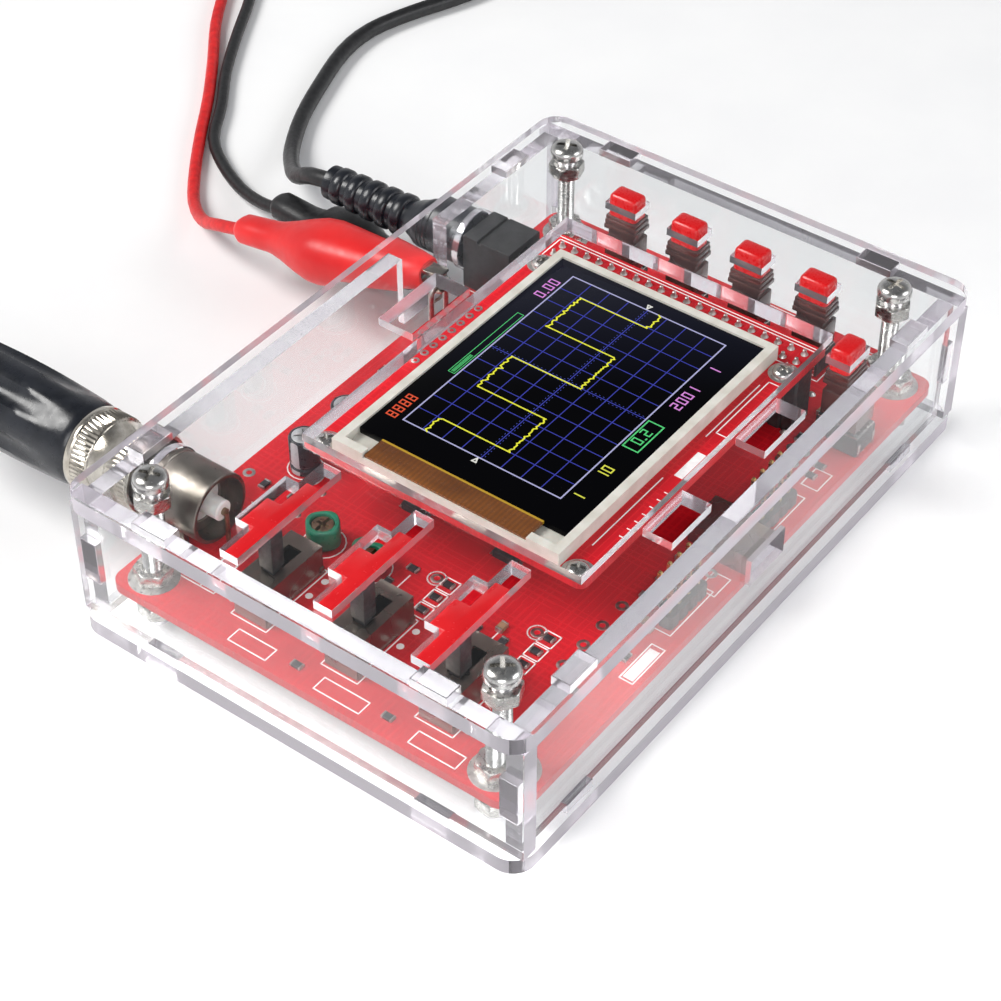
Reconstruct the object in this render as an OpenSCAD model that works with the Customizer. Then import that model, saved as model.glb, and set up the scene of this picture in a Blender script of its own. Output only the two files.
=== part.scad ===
// Pocket oscilloscope: a circuit board and a colour display in a bolted clear acrylic box,
// with its power lead and its test lead plugged in.

/* [Case] */
// Width of the case over its plates
case_w = 126; // [126:1:160]
// Depth of the case over its plates
case_d = 86; // [86:1:110]
// Height of the case from the rest face to the top face
case_h = 28.5; // [28.5:0.5:36]
// Thickness of the acrylic sheet of every panel
sheet_t = 3; // [2.4:0.1:3.2]
// How far the plates stand past the walls
overhang = 1.5; // [1:0.1:2]
// Corner radius of the two plates
plate_r = 4; // [2:0.5:5]
// Width of each finger tab
tab_w = 6.3; // [5:0.1:8]
// Distance of each tab's middle from the plate's corner
tab_inset = 16.8; // [15:0.1:18]
// Clearance round each tab in its slot
tab_gap = 0.1; // [0.05:0.05:0.2]

/* [Case screws] */
// Radius of the screw shanks
screw_r = 1.5; // [1.25:0.05:1.75]
// Radius of the screw heads
screw_head_r = 2.9; // [2.6:0.1:3.2]
// Height of the screw heads
screw_head_h = 2.2; // [1.8:0.1:2.6]
// Distance of the screws from the left and right edges of the case
screw_in_x = 9.5; // [9:0.1:11]
// Distance of the screws from the front and back edges of the case
screw_in_y = 10; // [9.5:0.1:11]
// Width of the nuts across their flats
nut_af = 5.5; // [5:0.1:6]
// Thickness of the nuts
nut_h = 2.4; // [1.8:0.1:2.6]
// Radial clearance of a screw in a hole
screw_gap = 0.2; // [0.1:0.05:0.4]

/* [Main board] */
// Height of the board's underside above the rest face
board_z = 8.6; // [8:0.1:9.8]
// Thickness of both circuit boards
board_t = 1.6; // [1.2:0.1:1.8]
// Gap between the board and the walls
board_gap = 0.3; // [0.2:0.1:0.8]
// Corner radius of both circuit boards
board_r = 2.5; // [1:0.5:3]

/* [Display] */
// Width of the display's own board
lcd_board_w = 68.6; // [68:0.2:70]
// Depth of the display's own board
lcd_board_d = 53.8; // [53:0.2:55]
// Left edge of the display board from the case's left edge
lcd_board_x = 33.2; // [32.6:0.1:34]
// Front edge of the display board from the case's front edge
lcd_board_y = 13.2; // [12.6:0.1:14]
// Height of the socket that carries the display board
lcd_socket_h = 10; // [8:0.5:12]
// Width of the display frame
bezel_w = 60.3; // [58:0.1:61]
// Depth of the display frame
bezel_d = 43.2; // [42:0.1:44]
// Height of the display frame
bezel_h = 2.6; // [2:0.1:3]
// Display frame's left edge from the display board's left edge
bezel_in_x = 1.9; // [1:0.1:3]
// Display frame's front edge from the display board's front edge
bezel_in_y = 5.7; // [5:0.1:7]
// Width of the frame's rim round the glass
bezel_rim = 1.5; // [1:0.1:2]
// Width of the window in the top plate
window_w = 69.6; // [69:0.1:71]
// Depth of the window in the top plate
window_d = 52.6; // [50:0.1:54]
// Left edge of the window from the case's left edge
window_x = 31.9; // [31.9:0.1:33]
// Front edge of the window from the case's front edge
window_y = 12.6; // [12.6:0.1:13]

/* [Slide switches] */
// Middle of the first switch from the case's front edge
slide_y = 22.2; // [21:0.1:23]
// Distance between neighbouring switches
slide_pitch = 17.8; // [16:0.1:18]
// Middle of the switches from the case's left edge
slide_x = 17.2; // [16:0.1:18]
// Travel of each slider from its first to its third place
slide_travel = 4; // [3:0.5:4]
// Length of each slot in the top plate
slot_l = 23.6; // [22:0.1:23.8]
// How far each slot runs past the middle of its switch
slot_reach = 11.5; // [10:0.1:12]
// Width of the narrow part of each slot
slot_w = 3.4; // [3:0.1:4]
// Depth of the wide part of each slot beyond the narrow part
notch_d = 2.6; // [2:0.1:3]
// Length of the wide part of each slot
notch_l = 11.4; // [10:0.1:12]
// Running clearance of a slider or button in its cut-out
slide_gap = 0.3; // [0.2:0.05:0.5]

/* [Push buttons] */
// Long side of a button cap
cap_l = 5.6; // [5:0.1:6]
// Short side of a button cap
cap_w = 3.8; // [3.4:0.1:4.2]
// How far a cap stands above the top plate
cap_proud = 1.6; // [1:0.1:2]
// Travel of a button
press_travel = 0.3; // [0.2:0.05:0.4]
// Distance between neighbouring buttons in the row of four
button_pitch = 12.7; // [12:0.1:13]
// First button of the row from the case's front edge
button_y = 21.4; // [20:0.1:23]
// Row of buttons from the case's right edge
button_in_x = 14.6; // [14:0.1:15]
// Reset button from the case's right edge
reset_in_x = 26.7; // [25:0.1:27]
// Reset button from the case's front edge
reset_y = 8.4; // [8.2:0.1:8.8]

/* [Connectors] */
// Signal socket from the case's left edge
bnc_x = 19; // [18:0.1:21]
// Radius of the signal socket's shell
bnc_r = 6; // [5.5:0.1:6.2]
// Signal socket's axis above the main board
bnc_rise = 7; // [6.6:0.1:8]
// Power socket from the case's right edge
dc_in_x = 28.5; // [27:0.1:30]
// Width of the power socket
dc_w = 9; // [8.5:0.1:10]
// Depth of the power socket
dc_d = 13.6; // [12:0.1:15]
// Height of the power socket
dc_h = 10.9; // [10.2:0.1:11.5]
// Radius of the power plug's sleeve
dc_sleeve_r = 2.75; // [2.5:0.05:2.8]
// Test terminal from the case's right edge
terminal_in_x = 43; // [42:0.1:44]
// Test terminal from the case's back edge
terminal_in_y = 7.2; // [7:0.1:8]

/* [Leads] */
// Diameter of the power cable
dc_cable_d = 3.2; // [3:0.1:3.5]
// Diameter of the screened test cable
probe_cable_d = 3.4; // [3:0.1:4]
// Diameter of the two single test wires
wire_d = 2.4; // [2:0.1:2.6]

/* [Hidden] */

$fn = 48;
eps = 0.01;

// Heights, from the rest face up
plate_top = case_h;
plate_under = case_h - sheet_t;
wall_h = case_h - 2 * sheet_t;
board_top = board_z + board_t;
strip_h = 2.5;
lcd_board_z = board_top + lcd_socket_h + strip_h;
lcd_board_top = lcd_board_z + board_t;

// Wall faces, from the case's front left corner
wall_in = overhang + sheet_t;
inner_w = case_w - 2 * wall_in;
inner_d = case_d - 2 * wall_in;
side_lip = 1.2;
end_tab_h = 8;
end_tab_z = (case_h - end_tab_h) / 2;

board_x = wall_in + board_gap;
board_y = wall_in + board_gap;
board_w = inner_w - 2 * board_gap;
board_d = inner_d - 2 * board_gap;

screw_places = [
    [screw_in_x, screw_in_y], [case_w - screw_in_x, screw_in_y],
    [screw_in_x, case_d - screw_in_y], [case_w - screw_in_x, case_d - screw_in_y]
];
screw_hole_r = screw_r + screw_gap;
nut_bore_r = screw_r + 0.05;

// Display
lcd_screw_in = 2.9;
lcd_screw_r = 1;
bezel_x = lcd_board_x + bezel_in_x;
bezel_y = lcd_board_y + bezel_in_y;
glass_drop = 0.35;
flex_l = 3.4;
pin_pitch = 2.54;
pin_side = 0.64;
lcd_pin_rows = 20;
lcd_pin_x = lcd_board_x + lcd_board_w - 2.9 - pin_pitch;
lcd_pin_y = lcd_board_y + lcd_board_d / 2 - (lcd_pin_rows - 1) * pin_pitch / 2;
lcd_left_pin_x = lcd_board_x + 1.6;
lcd_screw_places = [
    [lcd_board_x + lcd_screw_in, lcd_board_y + lcd_screw_in],
    [bezel_x + bezel_w - lcd_screw_in + 0.4, lcd_board_y + lcd_screw_in],
    [lcd_board_x + lcd_screw_in, lcd_board_y + lcd_board_d - lcd_screw_in],
    [bezel_x + bezel_w - lcd_screw_in + 0.4, lcd_board_y + lcd_board_d - lcd_screw_in]
];

// Slide switches
can_l = 12;
can_w = 6.2;
can_h = 5.5;
can_t = 0.4;
lever_side = 2;
lever_top = board_top + can_h + 4;
lever_foot_h = 1.2;
can_floor = 2.6;
lever_foot_z = board_top + can_floor + 0.1;
slot_x = slide_x + slot_reach - slot_l;
slot_front = slide_y - 2.9;
notch_x = slide_x - notch_l / 2;
thumb_l = notch_l - slide_travel - 2 * slide_gap;
bar_l = slot_l - slide_travel - 2 * slide_gap;
cap_recess = 0.8;

// Push buttons: [x, y, turned]
button_x = case_w - button_in_x;
button_places = [
    [button_x, button_y + 3 * button_pitch, 0], [button_x, button_y + 2 * button_pitch, 0],
    [button_x, button_y + button_pitch, 0], [button_x, button_y, 0],
    [case_w - reset_in_x, reset_y, 90]
];
tact_side = 6;
tact_h = 4.3;
tact_well_r = 1.9;
stem_base = board_top + tact_h + 0.4;
stem_top = plate_under - 1.2;
plunger_r = tact_well_r - 0.1 - slide_gap / 2;

// Connectors
bnc_z = board_top + bnc_rise;
bnc_len = 10;
bnc_nose_l = 13.5;
bnc_hole_r = bnc_r + screw_gap;
dc_x = case_w - dc_in_x;
dc_z = board_top + 6.9;
wall_back = case_d - overhang;
wall_back_in = wall_back - sheet_t;
dc_hole_r = 5.6;
terminal_x = case_w - terminal_in_x;
terminal_y = case_d - terminal_in_y;
terminal_top = board_top + 9.4;
terminal_wire_r = 0.5;
terminal_notch_w = 12;
terminal_notch_z = board_top + 3;
usb_w = 7.7;
usb_x = 62.8;
usb_h = 3.9;
header_y = 8.7;
// Middle and width of each row's cut-out in the top plate
header_cuts = [[50.9, 10.4], [76.8, 11.8]];
header_cut_d = 5.2;
header_pins_n = 4;
// Cut-out above the test terminal
terminal_cut = [61, 66.6, 15, 7];

// Parts that stand on the main board: [x, y, length, width, height]
chips = [
    [60, 40, 7, 7, 1.4], [44, 52, 5, 4, 1.5], [44, 34, 5, 4, 1.5], [80, 56, 5, 6, 1.6],
    [84, 30, 5, 6, 1.6], [106.3, 70, 6, 6, 2.3]
];
can_caps = [[72, 70.6, 3.15, 9], [50, 72, 2.5, 7], [40, 72.5, 2.5, 7], [89, 66, 2.5, 7]];
trimmer_places = [[28.3, 58.9], [28.3, 49.6]];
trimmer_r = 3;
trimmer_h = 4.4;
trimmer_rotor_r = 1.9;

// Routes of the leads, from the case's front left corner
dc_route = [
    [97.5, 114.7, 17.1], [98, 120, 15.8], [102, 127, 10.6], [109, 134.5, 5.6], [117, 141.5, 2.4],
    [127, 147.5, 1.7], [138, 152, 1.7], [150, 156, 1.7], [160, 156.8, 1.7], [170, 154.3, 1.7],
    [180, 150.4, 1.7], [188, 148, 1.7], [194.5, 147.2, 1.7]
];
dc_coil_place = [205, 168];
probe_route = [
    [19, 150.1, 17.2], [19, 158, 15.2], [20.5, 168, 9], [25, 180, 3.4], [32, 191, 1.8],
    [42, 203, 1.8], [54, 215, 1.8], [67, 227, 1.8], [81, 238.5, 1.8], [96, 249, 1.8],
    [111, 256.8, 1.8], [125, 261.2, 1.8], [139.5, 262.4, 1.8]
];
// Short stretches from the coils' top layers to the split and to the far plug
probe_tail = [[172.4, 229.6, 5.1], [172.4, 226, 4.3], [172.4, 222, 3.2]];
dc_tail = [[225.8, 177, 4.8], [226.1, 179.4, 5], [227, 182.3, 5.3]];
probe_coil_place = [150, 240];
red_route = [
    [83, 124.3, 10.6], [84.2, 131, 8], [87.5, 138, 4], [93, 145.5, 1.7], [101, 152.5, 1.3],
    [111, 160, 1.3], [121, 167, 1.3], [132, 175.5, 1.3], [143, 184.5, 1.3], [154, 192, 1.3],
    [164, 199.5, 1.8], [170, 207, 2.6], [171, 214.9, 3.2]
];
black_route = [
    [98, 128.5, 4.6], [99.2, 134, 3], [101.8, 141.5, 1.6], [106, 149.8, 1.3], [111.5, 157, 1.3],
    [120.8, 163.3, 1.3], [131, 171, 1.3], [143, 178.5, 1.3], [155, 185.5, 1.3], [166, 193.5, 1.6],
    [172.5, 203, 2.4], [173.8, 214.9, 3.2]
];
split_place = [172.4, 215, 3.2];
clip_droop = 10.5;
coil_turn_r_dc = 17.6;
coil_turn_r_probe = 19;

// ---------------------------------------------------------------- helpers
module from_corner() { translate([-case_w / 2, -case_d / 2, 0]) children(); }

module box(x, y, z, l, w, h) { translate([x, y, z]) cube([l, w, h]); }

module rounded_sheet(w, d, t, r) {
    translate([r, 0, 0]) cube([w - 2 * r, d, t]);
    translate([0, r, 0]) cube([w, d - 2 * r, t]);
    for (x = [r, w - r], y = [r, d - r]) translate([x, y, 0]) cylinder(r = r, h = t);
}

// Slots that take the tabs of the four walls
module tab_slots(z) {
    w = tab_w + 2 * tab_gap;
    t = sheet_t + 2 * tab_gap;
    for (x = [tab_inset, case_w - tab_inset], y = [overhang, case_d - wall_in])
        box(x - w / 2, y - tab_gap, z - eps, w, t, sheet_t + 2 * eps);
    for (y = [tab_inset, case_d - tab_inset], x = [overhang, case_w - wall_in])
        box(x - tab_gap, y - w / 2, z - eps, t, w, sheet_t + 2 * eps);
}

module screw_holes(z, t, r) {
    for (p = screw_places) translate([p[0], p[1], z - 1]) cylinder(r = r, h = t + 2);
}

// A front or back wall, in its own plane from the case's left edge
module long_wall(y) {
    box(wall_in, y, sheet_t, inner_w, sheet_t, wall_h);
    for (x = [tab_inset, case_w - tab_inset]) box(x - tab_w / 2, y, 0, tab_w, sheet_t, case_h);
    box(overhang, y, end_tab_z, case_w - 2 * overhang, sheet_t, end_tab_h);
}

module side_wall(x) {
    w = case_d - 2 * (overhang - side_lip);
    difference() {
        union() {
            box(x, overhang - side_lip, sheet_t, sheet_t, w, wall_h);
            for (y = [tab_inset, case_d - tab_inset])
                box(x, y - tab_w / 2, 0, sheet_t, tab_w, case_h);
        }
        for (y = [overhang, case_d - wall_in])
            box(x - 1, y - tab_gap, end_tab_z - tab_gap, sheet_t + 2, sheet_t + 2 * tab_gap,
                end_tab_h + 2 * tab_gap);
    }
}

module nut(z) {
    difference() {
        translate([0, 0, z]) cylinder(r = nut_af / sqrt(3), h = nut_h, $fn = 6);
        translate([0, 0, z - 1]) cylinder(r = nut_bore_r, h = nut_h + 2);
    }
}

// One pass of a smooth curve through four neighbouring points
function curve_at(a, b, c, d, t) =
    0.5 * (2 * b + (c - a) * t + (2 * a - 5 * b + 4 * c - d) * t * t
        + (3 * b - a - 3 * c + d) * t * t * t);
function smooth(p, n) = [
    for (i = [0 : len(p) - 2], k = [0 : n - 1])
        curve_at(i > 0 ? p[i - 1] : 2 * p[0] - p[1], p[i], p[i + 1],
            i < len(p) - 2 ? p[i + 2] : 2 * p[i + 1] - p[i], k / n),
    p[len(p) - 1]
];
function unit(v) = v / norm(v);
function heading(p, i) = unit(p[min(i + 1, len(p) - 1)] - p[max(i - 1, 0)]);

// A round cord along a route
module cord(route, d) {
    sides = 8;
    p = smooth(route, 2);
    rings = len(p);
    points = [
        for (i = [0 : rings - 1])
            let (t = heading(p, i), s = unit(cross(t, [0, 0, 1])), u = cross(s, t))
            for (k = [0 : sides - 1])
                p[i] + d / 2 * (s * cos(360 * k / sides) + u * sin(360 * k / sides))
    ];
    skin = [
        for (i = [0 : rings - 2], k = [0 : sides - 1])
            let (a = i * sides + k, b = i * sides + (k + 1) % sides)
            [a, b, b + sides, a + sides]
    ];
    start = [for (k = [0 : sides - 1]) sides - 1 - k];
    end = [for (k = [0 : sides - 1]) (rings - 1) * sides + k];
    polyhedron(points, concat([start], skin, [end]));
}

module coil(place, turn_r, d, across, high) {
    w = across * d;
    translate([place[0], place[1], 0])
        rotate_extrude() translate([turn_r - w / 2, 0]) square([w, high * d]);
}

// ---------------------------------------------------------------- case
module bottom_plate() {
    color([0.9, 0.9, 0.95, 0.4]) from_corner() difference() {
        rounded_sheet(case_w, case_d, sheet_t, plate_r);
        tab_slots(0);
        screw_holes(0, sheet_t, screw_hole_r);
    }
}

module slide_slot(y) {
    box(slot_x, y, plate_under - 1, slot_l, slot_w, sheet_t + 2);
    box(notch_x, y + eps, plate_under - 1, notch_l, slot_w + notch_d, sheet_t + 2);
}

module button_hole(p) {
    w = cap_w + 2 * slide_gap;
    l = cap_l + 2 * slide_gap;
    translate([p[0], p[1], plate_under - 1]) rotate([0, 0, p[2]])
        translate([-w / 2, -l / 2, 0]) cube([w, l, sheet_t + 2]);
}

module top_plate() {
    color([0.9, 0.9, 0.95, 0.4]) from_corner() difference() {
        translate([0, 0, plate_under]) rounded_sheet(case_w, case_d, sheet_t, plate_r);
        tab_slots(plate_under);
        screw_holes(plate_under, sheet_t, screw_hole_r);
        box(window_x, window_y, plate_under - 1, window_w, window_d, sheet_t + 2);
        for (i = [0 : 2]) slide_slot(slot_front + i * slide_pitch);
        for (p = button_places) button_hole(p);
        for (c = header_cuts)
            box(c[0] - c[1] / 2, header_y - header_cut_d / 2, plate_under - 1,
                c[1], header_cut_d, sheet_t + 2);
        box(terminal_cut[0], terminal_cut[1], plate_under - 1,
            terminal_cut[2], terminal_cut[3], sheet_t + 2);
    }
}

module front_wall() {
    color([0.9, 0.9, 0.95, 0.4]) from_corner() difference() {
        long_wall(overhang);
        box(usb_x - 1, overhang - 1, board_top - 0.6, usb_w + 2, sheet_t + 2, usb_h + 1.2);
    }
}

module back_wall() {
    color([0.9, 0.9, 0.95, 0.4]) from_corner() difference() {
        long_wall(case_d - wall_in);
        translate([bnc_x, wall_back_in - 1, bnc_z]) rotate([-90, 0, 0])
            cylinder(r = bnc_hole_r, h = sheet_t + 2);
        translate([dc_x, wall_back_in - 1, dc_z]) rotate([-90, 0, 0])
            cylinder(r = dc_hole_r, h = sheet_t + 2);
        box(terminal_x - terminal_notch_w / 2, wall_back_in - 1, terminal_notch_z,
            terminal_notch_w, sheet_t + 2, plate_under - terminal_notch_z + 1);
    }
}

module left_wall() { color([0.9, 0.9, 0.95, 0.4]) from_corner() side_wall(overhang); }

module right_wall() { color([0.9, 0.9, 0.95, 0.4]) from_corner() side_wall(case_w - wall_in); }

module pan_head(r, h) {
    difference() {
        union() {
            cylinder(r = r, h = h * 0.55);
            translate([0, 0, h * 0.55]) intersection() {
                cylinder(r = r, h = h);
                translate([0, 0, h * 0.45 - r * 1.6]) sphere(r = r * 1.6);
            }
        }
        for (a = [0, 90]) rotate([0, 0, a])
            translate([-r * 0.62, -r * 0.13, h * 0.5]) cube([r * 1.24, r * 0.26, h]);
    }
}

module case_screws() {
    color("silver") from_corner() for (p = screw_places) translate([p[0], p[1], 0]) {
        translate([0, 0, 0.4]) cylinder(r = screw_r, h = plate_top - 0.4);
        translate([0, 0, plate_top]) pan_head(screw_head_r, screw_head_h);
    }
}

// Four nuts on each screw: under the top plate, above and below the board, on the bottom plate
module case_nuts() {
    color("gainsboro") from_corner() for (p = screw_places) translate([p[0], p[1], 0])
        for (z = [sheet_t, board_z - nut_h, board_top, plate_under - nut_h]) nut(z);
}

// ---------------------------------------------------------------- main board
module main_board() {
    color("crimson") from_corner() difference() {
        translate([board_x, board_y, board_z]) rounded_sheet(board_w, board_d, board_t, board_r);
        screw_holes(board_z, board_t, screw_hole_r);
    }
}

module board_chips() {
    color([0.1, 0.1, 0.1]) from_corner() for (c = chips)
        box(c[0] - c[2] / 2, c[1] - c[3] / 2, board_top, c[2], c[3], c[4]);
}

module capacitors() {
    color([0.12, 0.12, 0.15]) from_corner() for (c = can_caps)
        translate([c[0], c[1], board_top]) cylinder(r = c[2], h = c[3]);
}

module trimmer_bodies() {
    color("seagreen") from_corner() for (p = trimmer_places) translate([p[0], p[1], board_top])
        difference() {
            cylinder(r = trimmer_r, h = trimmer_h);
            translate([0, 0, 1.5]) cylinder(r = trimmer_rotor_r + 0.05, h = trimmer_h);
        }
}

module trimmer_rotor(p) {
    color("goldenrod") from_corner() translate([p[0], p[1], board_top + 1.5]) difference() {
        cylinder(r = trimmer_rotor_r, h = 2.5);
        translate([-2.2, -0.3, 1.6]) cube([4.4, 0.6, 1.5]);
    }
}

module trimmer_rotor_1() { trimmer_rotor(trimmer_places[0]); }

module trimmer_rotor_2() { trimmer_rotor(trimmer_places[1]); }

// A folded metal can that guides the foot of its lever
module switch_can(y) {
    x = slide_x - can_l / 2;
    slot = slide_travel + lever_side + 2 * slide_gap;
    difference() {
        box(x, y - can_w / 2, board_top, can_l, can_w, can_h);
        box(x + can_t, y - can_w / 2 + can_t, board_top + can_floor,
            can_l - 2 * can_t, can_w - 2 * can_t, can_h - can_floor - can_t);
        box(slide_x - slot / 2, y - lever_side / 2 - slide_gap, board_top + can_h - 1,
            slot, lever_side + 2 * slide_gap, 2);
    }
}

module switch_cans() {
    color("dimgray") from_corner() for (i = [0 : 2]) switch_can(slide_y + i * slide_pitch);
}

module slide_lever(i) {
    x = slide_x - slide_travel / 2;
    y = slide_y + i * slide_pitch;
    color([0.1, 0.1, 0.1]) from_corner() {
        box(x - 2.2, y - 1.6, lever_foot_z, 4.4, 3.2, lever_foot_h);
        box(x - lever_side / 2, y - lever_side / 2, lever_foot_z, lever_side, lever_side,
            lever_top - lever_foot_z);
    }
}

module slide_lever_1() { slide_lever(2); }

module slide_lever_2() { slide_lever(1); }

module slide_lever_3() { slide_lever(0); }

// The cap stands on the lever and shows as a red bar in the slot
module slide_cap(i) {
    x = slide_x - slide_travel / 2;
    y = slide_y + i * slide_pitch;
    slot_y = slot_front + i * slide_pitch;
    foot_z = board_top + can_h + 0.6;
    bar_z = plate_under + 0.2;
    color("red") from_corner() difference() {
        union() {
            box(slot_x + slide_gap, slot_y + slide_gap, bar_z, bar_l, slot_w - 2 * slide_gap,
                plate_top - cap_recess - bar_z);
            box(x - thumb_l / 2, slot_y + slide_gap, bar_z, thumb_l,
                slot_w + notch_d - 2 * slide_gap, plate_top - cap_recess - bar_z);
            box(x - lever_side / 2 - 1, y - lever_side / 2 - 0.8, foot_z, lever_side + 2,
                lever_side + 1.6, bar_z - foot_z + eps);
        }
        box(x - lever_side / 2, y - lever_side / 2, foot_z - 1, lever_side, lever_side,
            lever_top - foot_z + 1);
    }
}

module slide_cap_1() { slide_cap(2); }

module slide_cap_2() { slide_cap(1); }

module slide_cap_3() { slide_cap(0); }

// ---------------------------------------------------------------- push buttons
module at_button(k) {
    p = button_places[k];
    from_corner() translate([p[0], p[1], 0]) rotate([0, 0, p[2]]) children();
}

module tact_switches() {
    color([0.15, 0.15, 0.15]) for (k = [0 : 4]) at_button(k) difference() {
        translate([-tact_side / 2, -tact_side / 2, board_top])
            cube([tact_side, tact_side, tact_h]);
        translate([0, 0, board_top + 2]) cylinder(r = tact_well_r, h = tact_h);
    }
}

// A stepped stem that carries the cap up to the top plate
module button_stem(k) {
    color([0.3, 0.28, 0.28]) at_button(k) {
        translate([0, 0, board_top + 2 + press_travel + 0.2])
            cylinder(r = plunger_r, h = tact_h - 2 + eps);
        translate([-2.4, -2.9, stem_base]) cube([4.8, 5.8, 5]);
        translate([-1.8, -2.6, stem_base + 5 - eps]) cube([3.6, 5.2, stem_top - stem_base - 5]);
    }
}

module button_stem_1() { button_stem(0); }

module button_stem_2() { button_stem(1); }

module button_stem_3() { button_stem(2); }

module button_stem_4() { button_stem(3); }

module button_stem_5() { button_stem(4); }

module button_cap(k) {
    h = plate_top + cap_proud - stem_top;
    color("red") at_button(k) translate([-cap_w / 2, -cap_l / 2, stem_top + 0.02])
        hull() {
            cube([cap_w, cap_l, h - 0.6]);
            translate([0.6, 0.6, 0]) cube([cap_w - 1.2, cap_l - 1.2, h]);
        }
}

module button_cap_1() { button_cap(0); }

module button_cap_2() { button_cap(1); }

module button_cap_3() { button_cap(2); }

module button_cap_4() { button_cap(3); }

module button_cap_5() { button_cap(4); }

// ---------------------------------------------------------------- connectors
module along_back(x, y, z) { translate([x, y, z]) rotate([-90, 0, 0]) children(); }

module bnc_shell() {
    color("silver") from_corner() {
        difference() {
            union() {
                along_back(bnc_x, wall_back_in - bnc_len, bnc_z) cylinder(r = bnc_r, h = bnc_len);
                along_back(bnc_x, wall_back_in - eps, bnc_z) cylinder(r = 4.9, h = bnc_nose_l);
            }
            along_back(bnc_x, wall_back_in - bnc_len - 1, bnc_z) cylinder(r = 3.6, h = 40);
        }
        for (s = [-1, 1]) along_back(bnc_x + s * 5.2, wall_back_in + 9, bnc_z)
            cylinder(r = 0.9, h = 1.8);
        for (s = [-1, 1]) box(bnc_x + s * 4 - 0.5, wall_back_in - 6, board_top,
            1, 2, bnc_z - board_top - 4.3);
    }
}

module bnc_insulator() {
    color("white") from_corner() difference() {
        along_back(bnc_x, wall_back_in - bnc_len, bnc_z) cylinder(r = 3.6, h = bnc_len + 1);
        along_back(bnc_x, wall_back_in - bnc_len - 1, bnc_z) cylinder(r = 0.7, h = bnc_len + 3);
    }
}

module bnc_contact() {
    color("goldenrod") from_corner() {
        along_back(bnc_x, wall_back_in - bnc_len - 1.2, bnc_z) cylinder(r = 0.65, h = bnc_len + 6);
        translate([bnc_x, wall_back_in - bnc_len - 1.2, board_top])
            cylinder(r = 0.4, h = bnc_z - board_top);
    }
}

module dc_jack() {
    y = wall_back_in - board_gap - dc_d;
    color([0.1, 0.1, 0.1]) from_corner() difference() {
        box(dc_x - dc_w / 2, y, board_top, dc_w, dc_d, dc_h);
        along_back(dc_x, y + 2, dc_z) cylinder(r = dc_sleeve_r + 0.3, h = dc_d);
    }
}

module dc_jack_pin() {
    y = wall_back_in - board_gap - dc_d + 2;
    color("silver") from_corner() along_back(dc_x, y, dc_z) cylinder(r = 1, h = dc_d - 4);
}

module test_terminal() {
    r = 2;
    h = terminal_top - board_top - r;
    color("silver") from_corner() translate([terminal_x, terminal_y, board_top]) {
        for (s = [-1, 1]) translate([s * r, 0, 0]) cylinder(r = terminal_wire_r, h = h);
        translate([0, 0, h]) rotate([90, 0, 0]) rotate_extrude(angle = 180)
            translate([r, 0]) circle(r = terminal_wire_r);
    }
}

module pin(x, y, z, h) { box(x - pin_side / 2, y - pin_side / 2, z, pin_side, pin_side, h); }

module header_bases() {
    w = header_pins_n * pin_pitch;
    color([0.08, 0.08, 0.08]) from_corner() {
        for (c = header_cuts) box(c[0] - w / 2, header_y - 1.25, board_top, w, 2.5, 2.5);
        box(lcd_pin_x - 1.25, lcd_pin_y - 1.27, board_top, 2.5 + pin_pitch,
            lcd_pin_rows * pin_pitch, lcd_socket_h + strip_h);
        for (y = [lcd_board_y + 8, lcd_board_y + lcd_board_d - 8])
            box(lcd_left_pin_x - 1.25, y - 2.5, board_top, 2.5, 5, lcd_socket_h + strip_h);
    }
}

module header_pins() {
    color("gold") from_corner() {
        for (c = header_cuts, i = [0 : header_pins_n - 1])
            pin(c[0] + (i - (header_pins_n - 1) / 2) * pin_pitch, header_y, board_top + 2.5, 6);
        for (i = [0 : lcd_pin_rows - 1], k = [0, 1])
            pin(lcd_pin_x + k * pin_pitch, lcd_pin_y + i * pin_pitch, lcd_board_top, 1);
    }
}

module usb_socket() {
    color("silver") from_corner() difference() {
        box(usb_x, board_y, board_top, usb_w, 9, usb_h);
        box(usb_x + 0.5, board_y - 1, board_top + 0.5, usb_w - 1, 8, usb_h - 1);
    }
}

// ---------------------------------------------------------------- display
module lcd_board() {
    color("crimson") from_corner() difference() {
        translate([lcd_board_x, lcd_board_y, lcd_board_z])
            rounded_sheet(lcd_board_w, lcd_board_d, board_t, 1.5);
        for (p = lcd_screw_places) translate([p[0], p[1], lcd_board_z - 1])
            cylinder(r = lcd_screw_r + 0.1, h = board_t + 2);
    }
}

module lcd_bezel() {
    color("ivory") from_corner() difference() {
        box(bezel_x, bezel_y, lcd_board_top, bezel_w, bezel_d, bezel_h);
        box(bezel_x + bezel_rim, bezel_y + bezel_rim, lcd_board_top + 1,
            bezel_w - 2 * bezel_rim, bezel_d - 2 * bezel_rim, bezel_h);
        box(bezel_x - 1, bezel_y + 6, lcd_board_top + bezel_h - 0.9, bezel_rim + 2,
            bezel_d - 12, bezel_h);
    }
}

module lcd_glass() {
    color([0.03, 0.03, 0.06]) from_corner()
        box(bezel_x + bezel_rim + flex_l, bezel_y + bezel_rim, lcd_board_top + 1,
            bezel_w - 2 * bezel_rim - flex_l, bezel_d - 2 * bezel_rim,
            bezel_h - 1 - glass_drop);
}

module lcd_flex() {
    color("sienna") from_corner()
        box(bezel_x + 0.3, bezel_y + 6.2, lcd_board_top + bezel_h - 0.9,
            bezel_rim + flex_l - 0.3, bezel_d - 12.4, 0.5);
}

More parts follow.
